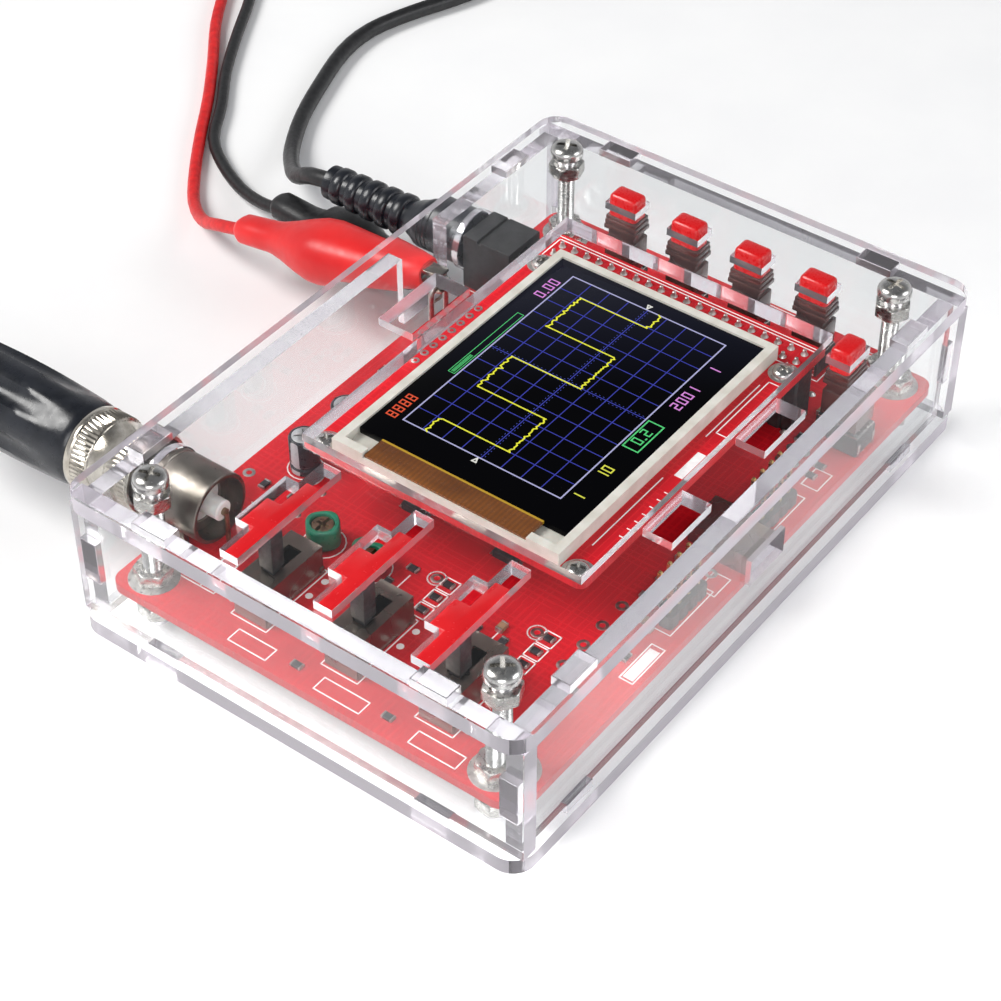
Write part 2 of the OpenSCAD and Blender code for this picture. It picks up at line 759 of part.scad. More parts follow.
module lcd_screws() {
    color("silver") from_corner() for (p = lcd_screw_places) translate([p[0], p[1], 0]) {
        translate([0, 0, lcd_board_z - 1]) cylinder(r = lcd_screw_r, h = board_t + 1);
        translate([0, 0, lcd_board_top]) pan_head(1.9, 1.1);
    }
}

// ---------------------------------------------------------------- leads
module bnc_plug_ring() {
    color("silver") from_corner() difference() {
        along_back(bnc_x, wall_back_in + 5, bnc_z) cylinder(r = 7.2, h = 12);
        along_back(bnc_x, wall_back_in + 4, bnc_z) cylinder(r = 6.2, h = 10);
        along_back(bnc_x, wall_back_in + 4, bnc_z) cylinder(r = 4.2, h = 20);
    }
}

module bnc_plug_body() {
    y = wall_back_in + 17;
    color([0.1, 0.1, 0.12]) from_corner() {
        along_back(bnc_x, y, bnc_z) cylinder(r = 7.4, h = 22);
        along_back(bnc_x, y + 22 - eps, bnc_z) cylinder(r = 5, h = 16);
        along_back(bnc_x, y + 38 - 2 * eps, bnc_z) cylinder(r = 3, h = 13.52);
    }
}

// Barrel plug with a ribbed strain relief
module barrel_plug(relief_l) {
    difference() {
        union() {
            translate([0, 0, -9.4]) cylinder(r = dc_sleeve_r, h = 9.5);
            cylinder(r = 5.2, h = 11);
        }
        translate([0, 0, -10]) cylinder(r = 1.4, h = 9);
    }
    translate([0, 0, 11 - eps]) cylinder(r = 4.2, h = 3);
    for (i = [0 : 4]) translate([0, 0, 14 - 2 * eps + i * relief_l / 5]) {
        cylinder(r = 3.1 - i * 0.2, h = relief_l / 5);
        cylinder(r = 4 - i * 0.35, h = relief_l / 9);
    }
}

module dc_plug() {
    color([0.1, 0.1, 0.1]) from_corner()
        along_back(dc_x, wall_back_in - board_gap + 0.3, dc_z) barrel_plug(19.1);
}

module dc_far_plug() {
    color([0.1, 0.1, 0.1]) from_corner()
        translate([227, 215.1, 5.3]) rotate([90, 0, 0])
            barrel_plug(19.1);
}

module dc_cable() {
    color([0.1, 0.1, 0.1]) from_corner() {
        cord(dc_route, dc_cable_d);
        cord(dc_tail, dc_cable_d);
    }
}

module dc_coil() {
    color([0.1, 0.1, 0.1]) from_corner()
        coil(dc_coil_place, coil_turn_r_dc, dc_cable_d, 3, 2);
}

module probe_cable() {
    color([0.1, 0.1, 0.1]) from_corner() {
        cord(probe_route, probe_cable_d);
        cord(probe_tail, probe_cable_d);
    }
}

module probe_coil() {
    color([0.1, 0.1, 0.1]) from_corner()
        coil(probe_coil_place, coil_turn_r_probe, probe_cable_d, 3, 2);
}

module lead_split() {
    color([0.1, 0.1, 0.1]) from_corner() translate(split_place) rotate([-90, 0, 0]) {
        cylinder(r = 3.1, h = 5);
        translate([0, 0, 5 - eps]) cylinder(r = 2.3, h = 2);
    }
}

module red_wire() { color("red") from_corner() cord(red_route, wire_d); }

module black_wire() { color([0.1, 0.1, 0.1]) from_corner() cord(black_route, wire_d); }

// A sprung clip in its soft boot, from its nose at the start of the axis
module crocodile_clip(l) {
    for (s = [-1, 1]) translate([0, s * 1.1, 0]) hull() {
        translate([-1.4, -0.4, 0]) cube([2.8, 0.8, 1]);
        translate([-2.6, s * 1.2 - 0.5, 11]) cube([5.2, 1, 1]);
    }
    hull() {
        translate([0, 0, 11]) cylinder(r = 4, h = 1, $fn = 24);
        translate([0, 0, 25]) scale([1.2, 1, 1]) cylinder(r = 5, h = 4, $fn = 24);
        translate([0, 0, l - 9]) cylinder(r = 2.8, h = 1, $fn = 24);
    }
    translate([0, 0, l - 8.2]) cylinder(r = 2.4, h = 8.2);
}

module red_clip() {
    color("red") from_corner() translate([terminal_x, terminal_y, terminal_top])
        rotate([-90, 0, 0]) rotate([-clip_droop, 0, 0]) translate([0, 0, -1])
            crocodile_clip(47);
}

module black_clip() {
    color([0.1, 0.1, 0.1]) from_corner() translate([94, 89.5, 6.2]) rotate([-90, 0, -5.5])
        crocodile_clip(39);
}

bottom_plate();
top_plate();
front_wall();
back_wall();
left_wall();
right_wall();
case_screws();
case_nuts();
main_board();
board_chips();
capacitors();
trimmer_bodies();
trimmer_rotor_1();
trimmer_rotor_2();
switch_cans();
slide_lever_1();
slide_lever_2();
slide_lever_3();
slide_cap_1();
slide_cap_2();
slide_cap_3();
tact_switches();
button_stem_1();
button_stem_2();
button_stem_3();
button_stem_4();
button_stem_5();
button_cap_1();
button_cap_2();
button_cap_3();
button_cap_4();
button_cap_5();
bnc_shell();
bnc_insulator();
bnc_contact();
dc_jack();
dc_jack_pin();
test_terminal();
header_bases();
header_pins();
usb_socket();
lcd_board();
lcd_bezel();
lcd_glass();
lcd_flex();
lcd_screws();
bnc_plug_ring();
bnc_plug_body();
dc_plug();
dc_cable();
dc_coil();
dc_far_plug();
probe_cable();
probe_coil();
lead_split();
red_wire();
black_wire();
red_clip();
black_clip();
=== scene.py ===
# Pocket oscilloscope kit: a bolted acrylic case, a red circuit board with a colour display,
# and its power and test leads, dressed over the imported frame.
import math

import bmesh
import bpy
from mathutils import Matrix, Vector


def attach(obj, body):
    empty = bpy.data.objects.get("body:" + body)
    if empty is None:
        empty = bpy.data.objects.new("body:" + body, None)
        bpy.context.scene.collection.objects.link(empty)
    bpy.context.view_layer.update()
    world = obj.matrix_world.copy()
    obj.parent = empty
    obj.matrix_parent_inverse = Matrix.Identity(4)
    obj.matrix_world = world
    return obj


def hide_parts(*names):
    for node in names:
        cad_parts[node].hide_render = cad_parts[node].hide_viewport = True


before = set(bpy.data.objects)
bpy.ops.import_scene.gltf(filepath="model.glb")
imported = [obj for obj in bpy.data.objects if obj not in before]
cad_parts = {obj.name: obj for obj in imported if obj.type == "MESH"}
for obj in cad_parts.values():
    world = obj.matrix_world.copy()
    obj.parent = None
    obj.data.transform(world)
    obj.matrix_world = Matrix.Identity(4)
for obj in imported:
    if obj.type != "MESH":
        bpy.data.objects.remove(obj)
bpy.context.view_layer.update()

# ---------------------------------------------------------------- bench
# The bench is a plain pale sweep of matt board, and isn't part of the instrument.
# Every paint and finish below is mixed in a node tree, so the mixing tools start here.
def mix_finish(name):
    finish = bpy.data.materials.new(name)
    finish.use_nodes = True
    tree = finish.node_tree
    tree.nodes.clear()
    result = tree.nodes.new("ShaderNodeOutputMaterial")
    shader = tree.nodes.new("ShaderNodeBsdfPrincipled")
    tree.links.new(shader.outputs[0], result.inputs[0])
    return finish, tree, shader


def set_sockets(tree, node, sockets):
    for key, value in sockets.items():
        if isinstance(value, bpy.types.NodeSocket):
            tree.links.new(value, node.inputs[key])
        else:
            node.inputs[key].default_value = value
    return node


def step(tree, kind, sockets, **settings):
    node = tree.nodes.new(kind)
    for key, value in settings.items():
        setattr(node, key, value)
    return set_sockets(tree, node, sockets)


def where(tree):
    return tree.nodes.new("ShaderNodeTexCoord").outputs["Object"]


def grain(tree, scale, detail=2.0, stretch=(1, 1, 1), rough=0.5):
    place = step(tree, "ShaderNodeMapping", {"Vector": where(tree), "Scale": stretch})
    return step(tree, "ShaderNodeTexNoise", {
        "Vector": place.outputs[0], "Scale": scale, "Detail": detail, "Roughness": rough}).outputs[0]


def between(tree, amount, low, high):
    return step(tree, "ShaderNodeMapRange", {
        "Value": amount, "From Min": 0.3, "From Max": 0.7, "To Min": low, "To Max": high}).outputs[0]


def two_tone(tree, amount, dark, light, low=0.35, high=0.65):
    ramp = tree.nodes.new("ShaderNodeValToRGB")
    ramp.color_ramp.elements[0].position = low
    ramp.color_ramp.elements[0].color = (*dark, 1)
    ramp.color_ramp.elements[1].position = high
    ramp.color_ramp.elements[1].color = (*light, 1)
    tree.links.new(amount, ramp.inputs[0])
    return ramp.outputs[0]


def reckon(tree, sum_kind, first, second):
    return step(tree, "ShaderNodeMath", {0: first, 1: second}, operation=sum_kind).outputs[0]


def blend(tree, amount, first, second):
    return step(tree, "ShaderNodeMix", {"Factor": amount, 6: first, 7: second}, data_type="RGBA").outputs[2]


def relief(tree, height, strength, depth):
    return step(tree, "ShaderNodeBump", {
        "Height": height, "Strength": strength, "Distance": depth}).outputs[0]


def solid(name, bm, finish, body=None, smooth=True):
    mesh = bpy.data.meshes.new(name)
    bm.to_mesh(mesh)
    bm.free()
    return set_out(name, mesh, finish, body, smooth)


def set_out(name, data, finish, body=None, smooth=True):
    if finish is not None:
        data.materials.clear()
        data.materials.append(finish)
    if smooth and isinstance(data, bpy.types.Mesh):
        data.shade_smooth()
        data.set_sharp_from_angle(angle=math.radians(38))
    piece = bpy.data.objects.new(name, data)
    bpy.context.scene.collection.objects.link(piece)
    if body:
        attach(piece, body)
    return piece


def speckled(name, colour, rough, bump=None, more=None):
    """A finish with a faint grain. colour is (scale, detail, dark, light), rough is (scale, detail, least, most)
    and bump is (scale, detail, strength, depth)."""
    finish, tree, shader = mix_finish(name)
    set_sockets(tree, shader, {
        "Base Color": two_tone(tree, grain(tree, *colour[:2]), *colour[2:]),
        "Roughness": between(tree, grain(tree, *rough[:2]), *rough[2:]), **(more or {})})
    if bump:
        set_sockets(tree, shader, {"Normal": relief(tree, grain(tree, *bump[:2]), *bump[2:])})
    return finish


def spin_about(axis, degrees):
    return Matrix.Rotation(math.radians(degrees), 4, axis)


bench_paint = speckled(
    "bench_paint", (40, 4, (0.905, 0.905, 0.91), (0.93, 0.93, 0.93)), (300, 2.0, 0.85, 0.95))
bm = bmesh.new()
sweep = [(-1.2, 0.0)] + [(1.1 + 0.5 * math.sin(a), 0.5 - 0.5 * math.cos(a))
                         for a in [math.pi / 20 * k for k in range(11)]]
rows = [[bm.verts.new((x * 0.8 + side * 0.65, x * 0.6 - side * 0.85, z - 0.0002)) for x, z in sweep]
        for side in (-2.2, 2.2)]
for k in range(len(sweep) - 1):
    bm.faces.new((rows[1][k], rows[1][k + 1], rows[0][k + 1], rows[0][k]))
bmesh.ops.recalc_face_normals(bm, faces=bm.faces)
bench = solid("bench", bm, bench_paint)

# Soft studio light: a pale sky all round, one wide lamp behind and one beside the camera.
scene = bpy.context.scene
sky = bpy.data.worlds.new("studio")
sky.use_nodes = True
upward = sky.node_tree.nodes.new("ShaderNodeTexCoord").outputs["Generated"]
height = step(sky.node_tree, "ShaderNodeSeparateXYZ", {0: upward}).outputs[2]
fade = step(sky.node_tree, "ShaderNodeMapRange", {
    "Value": height, "From Min": 0.15, "From Max": 0.65, "To Min": 1.0, "To Max": 0.0}).outputs[0]
tone = blend(sky.node_tree, fade, (0.20, 0.205, 0.215, 1), (0.92, 0.93, 0.96, 1))
set_sockets(sky.node_tree, sky.node_tree.nodes["Background"], {"Color": tone, "Strength": 0.85})
scene.world = sky
scene.view_settings.view_transform = "Standard"


def lamp(name, place, aim, side, power, tint):
    data = bpy.data.lights.new(name, "AREA")
    data.shape = "DISK"
    data.size = side
    data.energy = power
    data.color = tint
    piece = bpy.data.objects.new(name, data)
    piece.location = place
    piece.rotation_euler = (Vector(aim) - Vector(place)).to_track_quat("-Z", "Y").to_euler()
    scene.collection.objects.link(piece)


lamp("key_lamp", (-0.35, 0.55, 0.75), (0, 0, 0), 0.5, 7.5, (1, 0.99, 0.97))
lamp("side_lamp", (-0.75, -0.45, 0.55), (0, 0, 0.01), 0.6, 3.6, (1, 1, 1))
lamp("front_lamp", (0.35, -0.7, 0.5), (0, 0, 0.01), 0.5, 2.4, (0.97, 0.98, 1))

# The camera looks down over the left front corner.
camera_data = bpy.data.cameras.new("camera")
camera_data.lens = 89.7
camera_data.sensor_width = 36
camera_data.clip_start = 0.01
camera = bpy.data.objects.new("camera", camera_data)
camera.location = (-0.2436, -0.1751, 0.2806)
camera.rotation_euler = (Vector((-0.0125, -0.0019, 0.014)) - camera.location).to_track_quat("-Z", "Y").to_euler()
scene.collection.objects.link(camera)
scene.camera = camera


# Every size below is in millimetres from the case's front left corner, as the parts are drawn.
corner_x, corner_y = 63, 43


def spot(x, y, z):
    return Vector(((x - corner_x) / 1000, (y - corner_y) / 1000, z / 1000))


# ---------------------------------------------------------------- acrylic case
# Six laser-cut panels of clear cast acrylic, 3 mm thick, keyed together by finger tabs.
# Their faces are polished, and their cut edges are faintly milky with fine upright burn lines.
def cut_acrylic(name, across):
    finish = bpy.data.materials.new(name)
    finish.use_nodes = True
    tree = finish.node_tree
    tree.nodes.clear()
    result = tree.nodes.new("ShaderNodeOutputMaterial")
    facing = tree.nodes.new("ShaderNodeTexCoord").outputs["Normal"]
    along = step(tree, "ShaderNodeVectorMath", {0: facing, 1: across}, operation="DOT_PRODUCT").outputs["Value"]
    flat = step(tree, "ShaderNodeMath", {0: along}, operation="ABSOLUTE").outputs[0]
    edge = reckon(tree, "LESS_THAN", flat, 0.5)
    lines = grain(tree, 900, 3, [0.1 if a else 1 for a in across])
    haze = grain(tree, 60, 3)
    face = step(tree, "ShaderNodeBsdfGlass", {
        "Color": (0.985, 0.99, 0.992, 1), "IOR": 1.49, "Roughness": between(tree, haze, 0.0, 0.008)})
    rim = step(tree, "ShaderNodeBsdfGlass", {
        "Color": two_tone(tree, lines, (0.95, 0.92, 0.95), (0.99, 0.985, 0.99)), "IOR": 1.49,
        "Roughness": between(tree, lines, 0.03, 0.13),
        "Normal": relief(tree, lines, 0.12, 0.00005)})
    place = step(tree, "ShaderNodeVectorMath", {0: where(tree)}, operation="ABSOLUTE").outputs[0]
    place = step(tree, "ShaderNodeSeparateXYZ", {0: place}).outputs
    side, end = [reckon(tree, "GREATER_THAN", place[k], reach) for k, reach in enumerate((0.0625, 0.0425))]
    outer = reckon(tree, "MAXIMUM", side, end)
    cloud = step(tree, "ShaderNodeMapRange", {"Value": outer, "To Min": 0.12, "To Max": 0.5}).outputs[0]
    milk = step(tree, "ShaderNodeBsdfDiffuse", {"Color": (0.74, 0.70, 0.755, 1)})
    rim_mix = step(tree, "ShaderNodeMixShader", {0: cloud, 1: rim.outputs[0], 2: milk.outputs[0]})
    body = step(tree, "ShaderNodeMixShader", {0: edge, 1: face.outputs[0], 2: rim_mix.outputs[0]})
    clear = step(tree, "ShaderNodeBsdfTransparent", {"Color": (0.97, 0.97, 0.97, 1)})
    lamps = tree.nodes.new("ShaderNodeLightPath").outputs["Is Shadow Ray"]
    shown = step(tree, "ShaderNodeMixShader", {0: lamps, 1: body.outputs[0], 2: clear.outputs[0]})
    tree.links.new(shown.outputs[0], result.inputs[0])
    return finish


def finish_node(node, finish):
    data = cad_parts[node].data
    data.materials.clear()
    data.materials.append(finish)


plate_acrylic = cut_acrylic("plate_acrylic", (0, 0, 1))
long_wall_acrylic = cut_acrylic("long_wall_acrylic", (0, 1, 0))
side_wall_acrylic = cut_acrylic("side_wall_acrylic", (1, 0, 0))


# The cutter takes a hair off every edge, so each panel stands just clear of its neighbours.
def kerf_cut(panel, finish, kerf=0.00003):
    bm = bmesh.new()
    bm.from_mesh(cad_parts[panel].data)
    bmesh.ops.remove_doubles(bm, verts=bm.verts, dist=1e-7)
    shifts = []
    for v in bm.verts:
        ways = []
        for f in v.link_faces:
            if all((f.normal - w).length > 0.3 for w in ways):
                ways.append(f.normal.copy())
        shifts.append(sum(ways, Vector()))
    for v, shift in zip(bm.verts, shifts):
        v.co -= shift * kerf
    piece = solid(panel.split("_")[0] + "_panel", bm, finish, "case", smooth=False)
    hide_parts(panel)


for panel, finish in (("top_plate", plate_acrylic), ("bottom_plate", plate_acrylic),
                      ("front_wall", long_wall_acrylic), ("back_wall", long_wall_acrylic),
                      ("left_wall", side_wall_acrylic), ("right_wall", side_wall_acrylic)):
    kerf_cut(panel, finish)

# ---------------------------------------------------------------- case screws
# Four M3 pan-head screws of bright plated steel, cross-recessed, each running through the whole case.
# The head is cold-formed and the thread rolled, and each stopped at its own angle when tightened.
def plated_steel(name, dark, light, low, high):
    finish, tree, shader = mix_finish(name)
    set_sockets(tree, shader, {
        "Base Color": two_tone(tree, grain(tree, 500, 4), dark, light), "Metallic": 1.0,
        "Roughness": between(tree, grain(tree, 1300, 4, (1, 1, 3)), low, high),
        "Normal": relief(tree, grain(tree, 2200, 3), 0.12, 0.00003)})
    return finish


screw_steel = plated_steel("screw_steel", (0.50, 0.49, 0.47), (0.68, 0.67, 0.65), 0.16, 0.3)
nut_nickel = plated_steel("nut_nickel", (0.42, 0.41, 0.39), (0.60, 0.58, 0.55), 0.2, 0.36)


def turned(profile, sides=32, rule=None):
    """Turns an outline of (radius, height) in mm about Z. rule(radius, height, angle) may shape it."""
    bm = bmesh.new()
    rings = []
    for r, h in profile:
        if r < 1e-6:
            rings.append([bm.verts.new((0, 0, h / 1000))])
            continue
        ring = []
        for k in range(sides):
            a = 2 * math.pi * k / sides
            q = rule(r, h, a) if rule else r
            ring.append(bm.verts.new((q * math.cos(a) / 1000, q * math.sin(a) / 1000, h / 1000)))
        rings.append(ring)
    for low, high in zip(rings, rings[1:]):
        for k in range(sides):
            j = (k + 1) % sides
            corners = []
            for c in (low[k % len(low)], low[j % len(low)], high[j % len(high)], high[k % len(high)]):
                if c not in corners:
                    corners.append(c)
            if len(corners) > 2:
                bm.faces.new(corners)
    if profile[0] == profile[-1]:
        bmesh.ops.remove_doubles(bm, verts=bm.verts, dist=1e-7)
    else:
        for ring in (rings[0], rings[-1]):
            if len(ring) > 1:
                bm.faces.new(ring)
    bmesh.ops.recalc_face_normals(bm, faces=bm.faces)
    return bm


def moved(bm, place=None, turn=None):
    if turn is not None:
        bmesh.ops.transform(bm, matrix=turn, verts=bm.verts)
    if place is not None:
        bmesh.ops.translate(bm, vec=place, verts=bm.verts)
    return bm


def joined(*parts):
    bm = bmesh.new()
    for part in parts:
        mesh = bpy.data.meshes.new("scrap")
        part.to_mesh(mesh)
        bm.from_mesh(mesh)
        part.free()
        bpy.data.meshes.remove(mesh)
    return bm


def block(x, y, z, length, width, height, soft=0.0):
    """A block by its low corner and size in mm, with softened edges."""
    bm = bmesh.new()
    bmesh.ops.create_cube(bm, size=1)
    bmesh.ops.scale(bm, vec=(length / 1000, width / 1000, height / 1000), verts=bm.verts)
    bmesh.ops.translate(bm, vec=((x + length / 2) / 1000, (y + width / 2) / 1000, (z + height / 2) / 1000),
                        verts=bm.verts)
    if soft:
        bmesh.ops.bevel(bm, geom=bm.edges[:], offset=soft / 1000, segments=2, profile=0.5, affect="EDGES")
    return bm


def set_block(x, y, *sizes):
    """A block by its low corner's place in the case."""
    return block(x - corner_x, y - corner_y, *sizes)


def cut_out(bm, cutter):
    """Cuts one solid out of another."""
    held = []
    for part in (bm, cutter):
        mesh = bpy.data.meshes.new("scrap")
        part.to_mesh(mesh)
        part.free()
        piece = bpy.data.objects.new("scrap", mesh)
        scene.collection.objects.link(piece)
        held.append(piece)
    cut = held[0].modifiers.new("cut", "BOOLEAN")
    cut.operation, cut.solver, cut.object = "DIFFERENCE", "EXACT", held[1]
    result = bmesh.new()
    result.from_mesh(held[0].evaluated_get(bpy.context.evaluated_depsgraph_get()).to_mesh())
    for piece in held:
        mesh = piece.data
        bpy.data.objects.remove(piece)
        bpy.data.meshes.remove(mesh)
    return result


repeat_tree = bpy.data.node_groups.new("repeat_part", "GeometryNodeTree")
for label, kind in (("Places", "Geometry"), ("Part", "Object"), ("Scale", "Vector"),
                    ("Most turn", "Float"), ("Seed", "Int"), ("Finish", "Material")):
    repeat_tree.interface.new_socket(label, in_out="INPUT", socket_type="NodeSocket" + kind)
repeat_tree.interface.new_socket("Parts", in_out="OUTPUT", socket_type="NodeSocketGeometry")
inlet = repeat_tree.nodes.new("NodeGroupInput").outputs
points = step(repeat_tree, "GeometryNodeMeshToPoints", {"Mesh": inlet["Places"]}).outputs[0]
part = step(repeat_tree, "GeometryNodeObjectInfo", {"Object": inlet["Part"]}).outputs["Geometry"]
least = reckon(repeat_tree, "MULTIPLY", inlet["Most turn"], -1.0)
chance = step(repeat_tree, "FunctionNodeRandomValue", {
    2: least, 3: inlet["Most turn"], "Seed": inlet["Seed"]}, data_type="FLOAT").outputs[1]
set_turn = step(repeat_tree, "GeometryNodeInputNamedAttribute", {"Name": "turn"}, data_type="FLOAT").outputs[0]
turning = reckon(repeat_tree, "ADD", chance, set_turn)
about_z = step(repeat_tree, "ShaderNodeCombineXYZ", {"Z": turning}).outputs[0]
copies = step(repeat_tree, "GeometryNodeInstanceOnPoints", {
    "Points": points, "Instance": part, "Rotation": about_z, "Scale": inlet["Scale"]}).outputs[0]
real = step(repeat_tree, "GeometryNodeRealizeInstances", {"Geometry": copies}).outputs[0]
dressed = step(repeat_tree, "GeometryNodeSetMaterial", {"Geometry": real, "Material": inlet["Finish"]}).outputs[0]
outlet = repeat_tree.nodes.new("NodeGroupOutput")
repeat_tree.links.new(dressed, outlet.inputs[0])


def repeat(name, places, bm, finish, size=(1, 1, 1), most_turn=0.0, seed=1, smooth=True):
    """Sets a copy of one part at every (x, y, z) or (x, y, z, turn in degrees)."""
    pattern_mesh = bpy.data.meshes.new("pattern")
    bm.to_mesh(pattern_mesh)
    bm.free()
    if smooth:
        pattern_mesh.shade_smooth()
        pattern_mesh.set_sharp_from_angle(angle=math.radians(38))
    pattern = bpy.data.objects.new("pattern", pattern_mesh)
    seats = bpy.data.meshes.new("seats")
    seats.from_pydata([spot(*p[:3]) for p in places], [], [])
    turn = seats.attributes.new("turn", "FLOAT", "POINT")
    for k, p in enumerate(places):
        turn.data[k].value = math.radians(p[3]) if len(p) > 3 else 0.0
    holder = bpy.data.objects.new("holder", seats)
    scene.collection.objects.link(holder)
    setter = holder.modifiers.new("repeat", "NODES")
    setter.node_group = repeat_tree
    keys = {s.name: s.identifier for s in repeat_tree.interface.items_tree if s.in_out == "INPUT"}
    for label, value in (("Part", pattern), ("Scale", size), ("Most turn", most_turn),
                         ("Seed", seed), ("Finish", finish)):
        setter[keys[label]] = value
    made = bpy.data.meshes.new_from_object(holder.evaluated_get(bpy.context.evaluated_depsgraph_get()))
    made.name = name
    for scrap in (holder, pattern):
        bpy.data.objects.remove(scrap)
    return set_out(name, made, None, "case", smooth=False)


case_screw_places = [(9.5, 10), (116.5, 10), (9.5, 76), (116.5, 76)]
thread = []
for k in range(50):
    thread += [(1.27, -27.9 + k * 0.5), (1.49, -27.65 + k * 0.5)]
pan_screw = turned([(0, -28.1), (1.2, -28.1)] + thread
                   + [(1.49, -2.9), (1.49, 0), (2.78, 0), (2.88, 0.12), (2.88, 0.9), (2.78, 1.3), (2.5, 1.68),
                      (2.0, 1.97), (1.3, 2.14), (0, 2.2)], 32)
pan_screw = cut_out(cut_out(pan_screw, block(-1.75, -0.36, 0.95, 3.5, 0.72, 2)),
                    block(-0.36, -1.75, 0.95, 0.72, 3.5, 2))
case_screw_set = repeat("case_screw_set", [(x, y, 28.5) for x, y in case_screw_places], pan_screw,
                        screw_steel, most_turn=1.4, seed=7)
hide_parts("case_screws")


# ---------------------------------------------------------------- case nuts
# Sixteen hexagon nuts stamped from nickel-plated steel, with chamfered corners.
# They clamp the top plate, both faces of the board and the bottom plate on each screw.
def hex_side(r, h, a):
    return r if r < 2 else min(r, 2.75 / math.cos(a % (math.pi / 3) - math.pi / 6))


nut = turned([(1.5, 0.25), (1.75, 0), (2.75, 0), (2.95, 0.1), (3.18, 0.28), (3.18, 2.12), (2.95, 2.3),
              (2.75, 2.4), (1.75, 2.4), (1.5, 2.15), (1.5, 0.25)], 48, hex_side)
case_nut_set = repeat("case_nut_set", [(x, y, z) for x, y in case_screw_places for z in (3, 6.2, 10.2, 23.1)],
                      nut, nut_nickel, most_turn=0.5, seed=3)
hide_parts("case_nuts")

# ---------------------------------------------------------------- main board
# The main circuit board: red solder mask over glass-fibre laminate with copper on both faces.
# Tracks stand faintly proud under the mask, and the whole board is dipped, so it shines.
def red_mask(name):
    finish, tree, shader = mix_finish(name)
    place = where(tree)

    def tracks(run, gap, length, seed):
        cell = step(tree, "ShaderNodeVectorMath", {0: place, 1: length}, operation="SNAP").outputs[0]
        pick = step(tree, "ShaderNodeTexWhiteNoise", {"Vector": cell, "W": seed},
                    noise_dimensions="4D").outputs[0]
        on = reckon(tree, "GREATER_THAN", pick, 0.55)
        side = step(tree, "ShaderNodeSeparateXYZ", {0: place}).outputs[run]
        lane = reckon(tree, "PINGPONG", side, gap)
        line = reckon(tree, "LESS_THAN", lane, gap * 0.36)
        return reckon(tree, "MULTIPLY", line, on)

    long_tracks = tracks(1, 0.0006, (0.009, 0.0012, 1), 3.0)
    cross_tracks = tracks(0, 0.0006, (0.0012, 0.007, 1), 8.0)
    copper = reckon(tree, "MAXIMUM", long_tracks, cross_tracks)
    mask = two_tone(tree, grain(tree, 60, 4), (0.44, 0.004, 0.010), (0.52, 0.006, 0.014))
    over_copper = two_tone(tree, grain(tree, 60, 4), (0.52, 0.007, 0.014), (0.60, 0.010, 0.018))
    tint = blend(tree, copper, mask, over_copper)
    set_sockets(tree, shader, {
        "Base Color": tint, "Roughness": between(tree, grain(tree, 900, 3), 0.28, 0.42),
        "Coat Weight": 0.12, "Coat Roughness": 0.2, "Specular IOR Level": 0.3,
        "Normal": relief(tree, copper, 0.35, 0.00003)})
    return finish


board_mask = red_mask("board_mask")
finish_node("main_board", board_mask)
board_top = 10.2

# Bare copper on the board is tinned: a wide ring under each nut, ringed holes, and small round pads.
tin = speckled(
    "tin", (900, 4, (0.42, 0.41, 0.4), (0.62, 0.61, 0.59)), (1500, 4, 0.26, 0.5), (1200, 4, 0.3, 6e-05),
    {"Metallic": 1.0})


def ring(inner, outer, thick=0.05):
    return turned([(inner, 0), (outer, 0), (outer, thick * 0.6), (outer - 0.05, thick), (inner, thick),
                   (inner, 0)], 28)


repeat("nut_pads", [(x, y, board_top) for x, y in case_screw_places], ring(1.75, 4.1), tin)
repeat("under_pads", [(x, y, 8.55) for x, y in case_screw_places], ring(1.75, 4.1), tin)
repeat("ring_pads", [(x, y, board_top) for x, y in [
    (32.6, 39.9), (32.5, 20.7), (29.4, 13.7), (34.6, 13.7), (39.6, 13.7), (44.8, 13.7), (32.2, 62.4), (60, 9.5),
    (87.8, 12.2), (91.2, 12.2), (107.5, 14.2), (106.2, 24.6), (106.2, 38.2), (106.2, 51.4), (58, 77.2),
    (64.4, 77.2), (33.6, 79), (101.9, 60.8), (27.2, 79.2)]], ring(0.5, 1.05), tin)
repeat("solder_spots", [(x, y, board_top) for x, y in [
    (13.2, 17.6), (17.2, 17.6), (21.2, 17.6), (13.2, 45),
    (17.2, 45), (21.2, 45), (13.2, 63), (17.2, 63), (21.2, 63), (30.6, 66.4), (36.8, 66.4), (112, 66.4),
    (115.6, 66.4), (104.5, 16.8), (95.1, 16.2), (70, 9.6), (83.5, 75.4), (79, 75.4)]],
    turned([(0.72, 0), (0.62, 0.12), (0.4, 0.3), (0.26, 0.5), (0, 0.56)], 14), tin)
joint_spots = [(13 + 1.9 * k, y) for y in (20, 24.6, 37.8, 42.4, 55.6, 60.2) for k in range(5)]
joint_spots += [(109 + 4.8 * k, y) for y in (19.2, 23.8, 31.9, 36.4, 44.6, 49, 57.3, 61.7) for k in (0, 1)]
joint_spots += [(16.5, 73), (21.5, 73), (19, 76), (94.5, 70), (97.5, 80.2), (100.5, 74)]
repeat("under_joints", [(x, y, 8.59) for x, y in joint_spots],
       turned([(0.75, 0.01), (0.6, -0.22), (0.35, -0.55), (0.2, -1.0), (0, -1.05)], 12), tin)

# White legend ink, screen printed: plain outlines round the parts, bare label frames and tick marks.
legend_ink = speckled(
    "legend_ink", (800, 4, (0.78, 0.74, 0.74), (0.9, 0.88, 0.87)), (1500, 3, 0.5, 0.7))


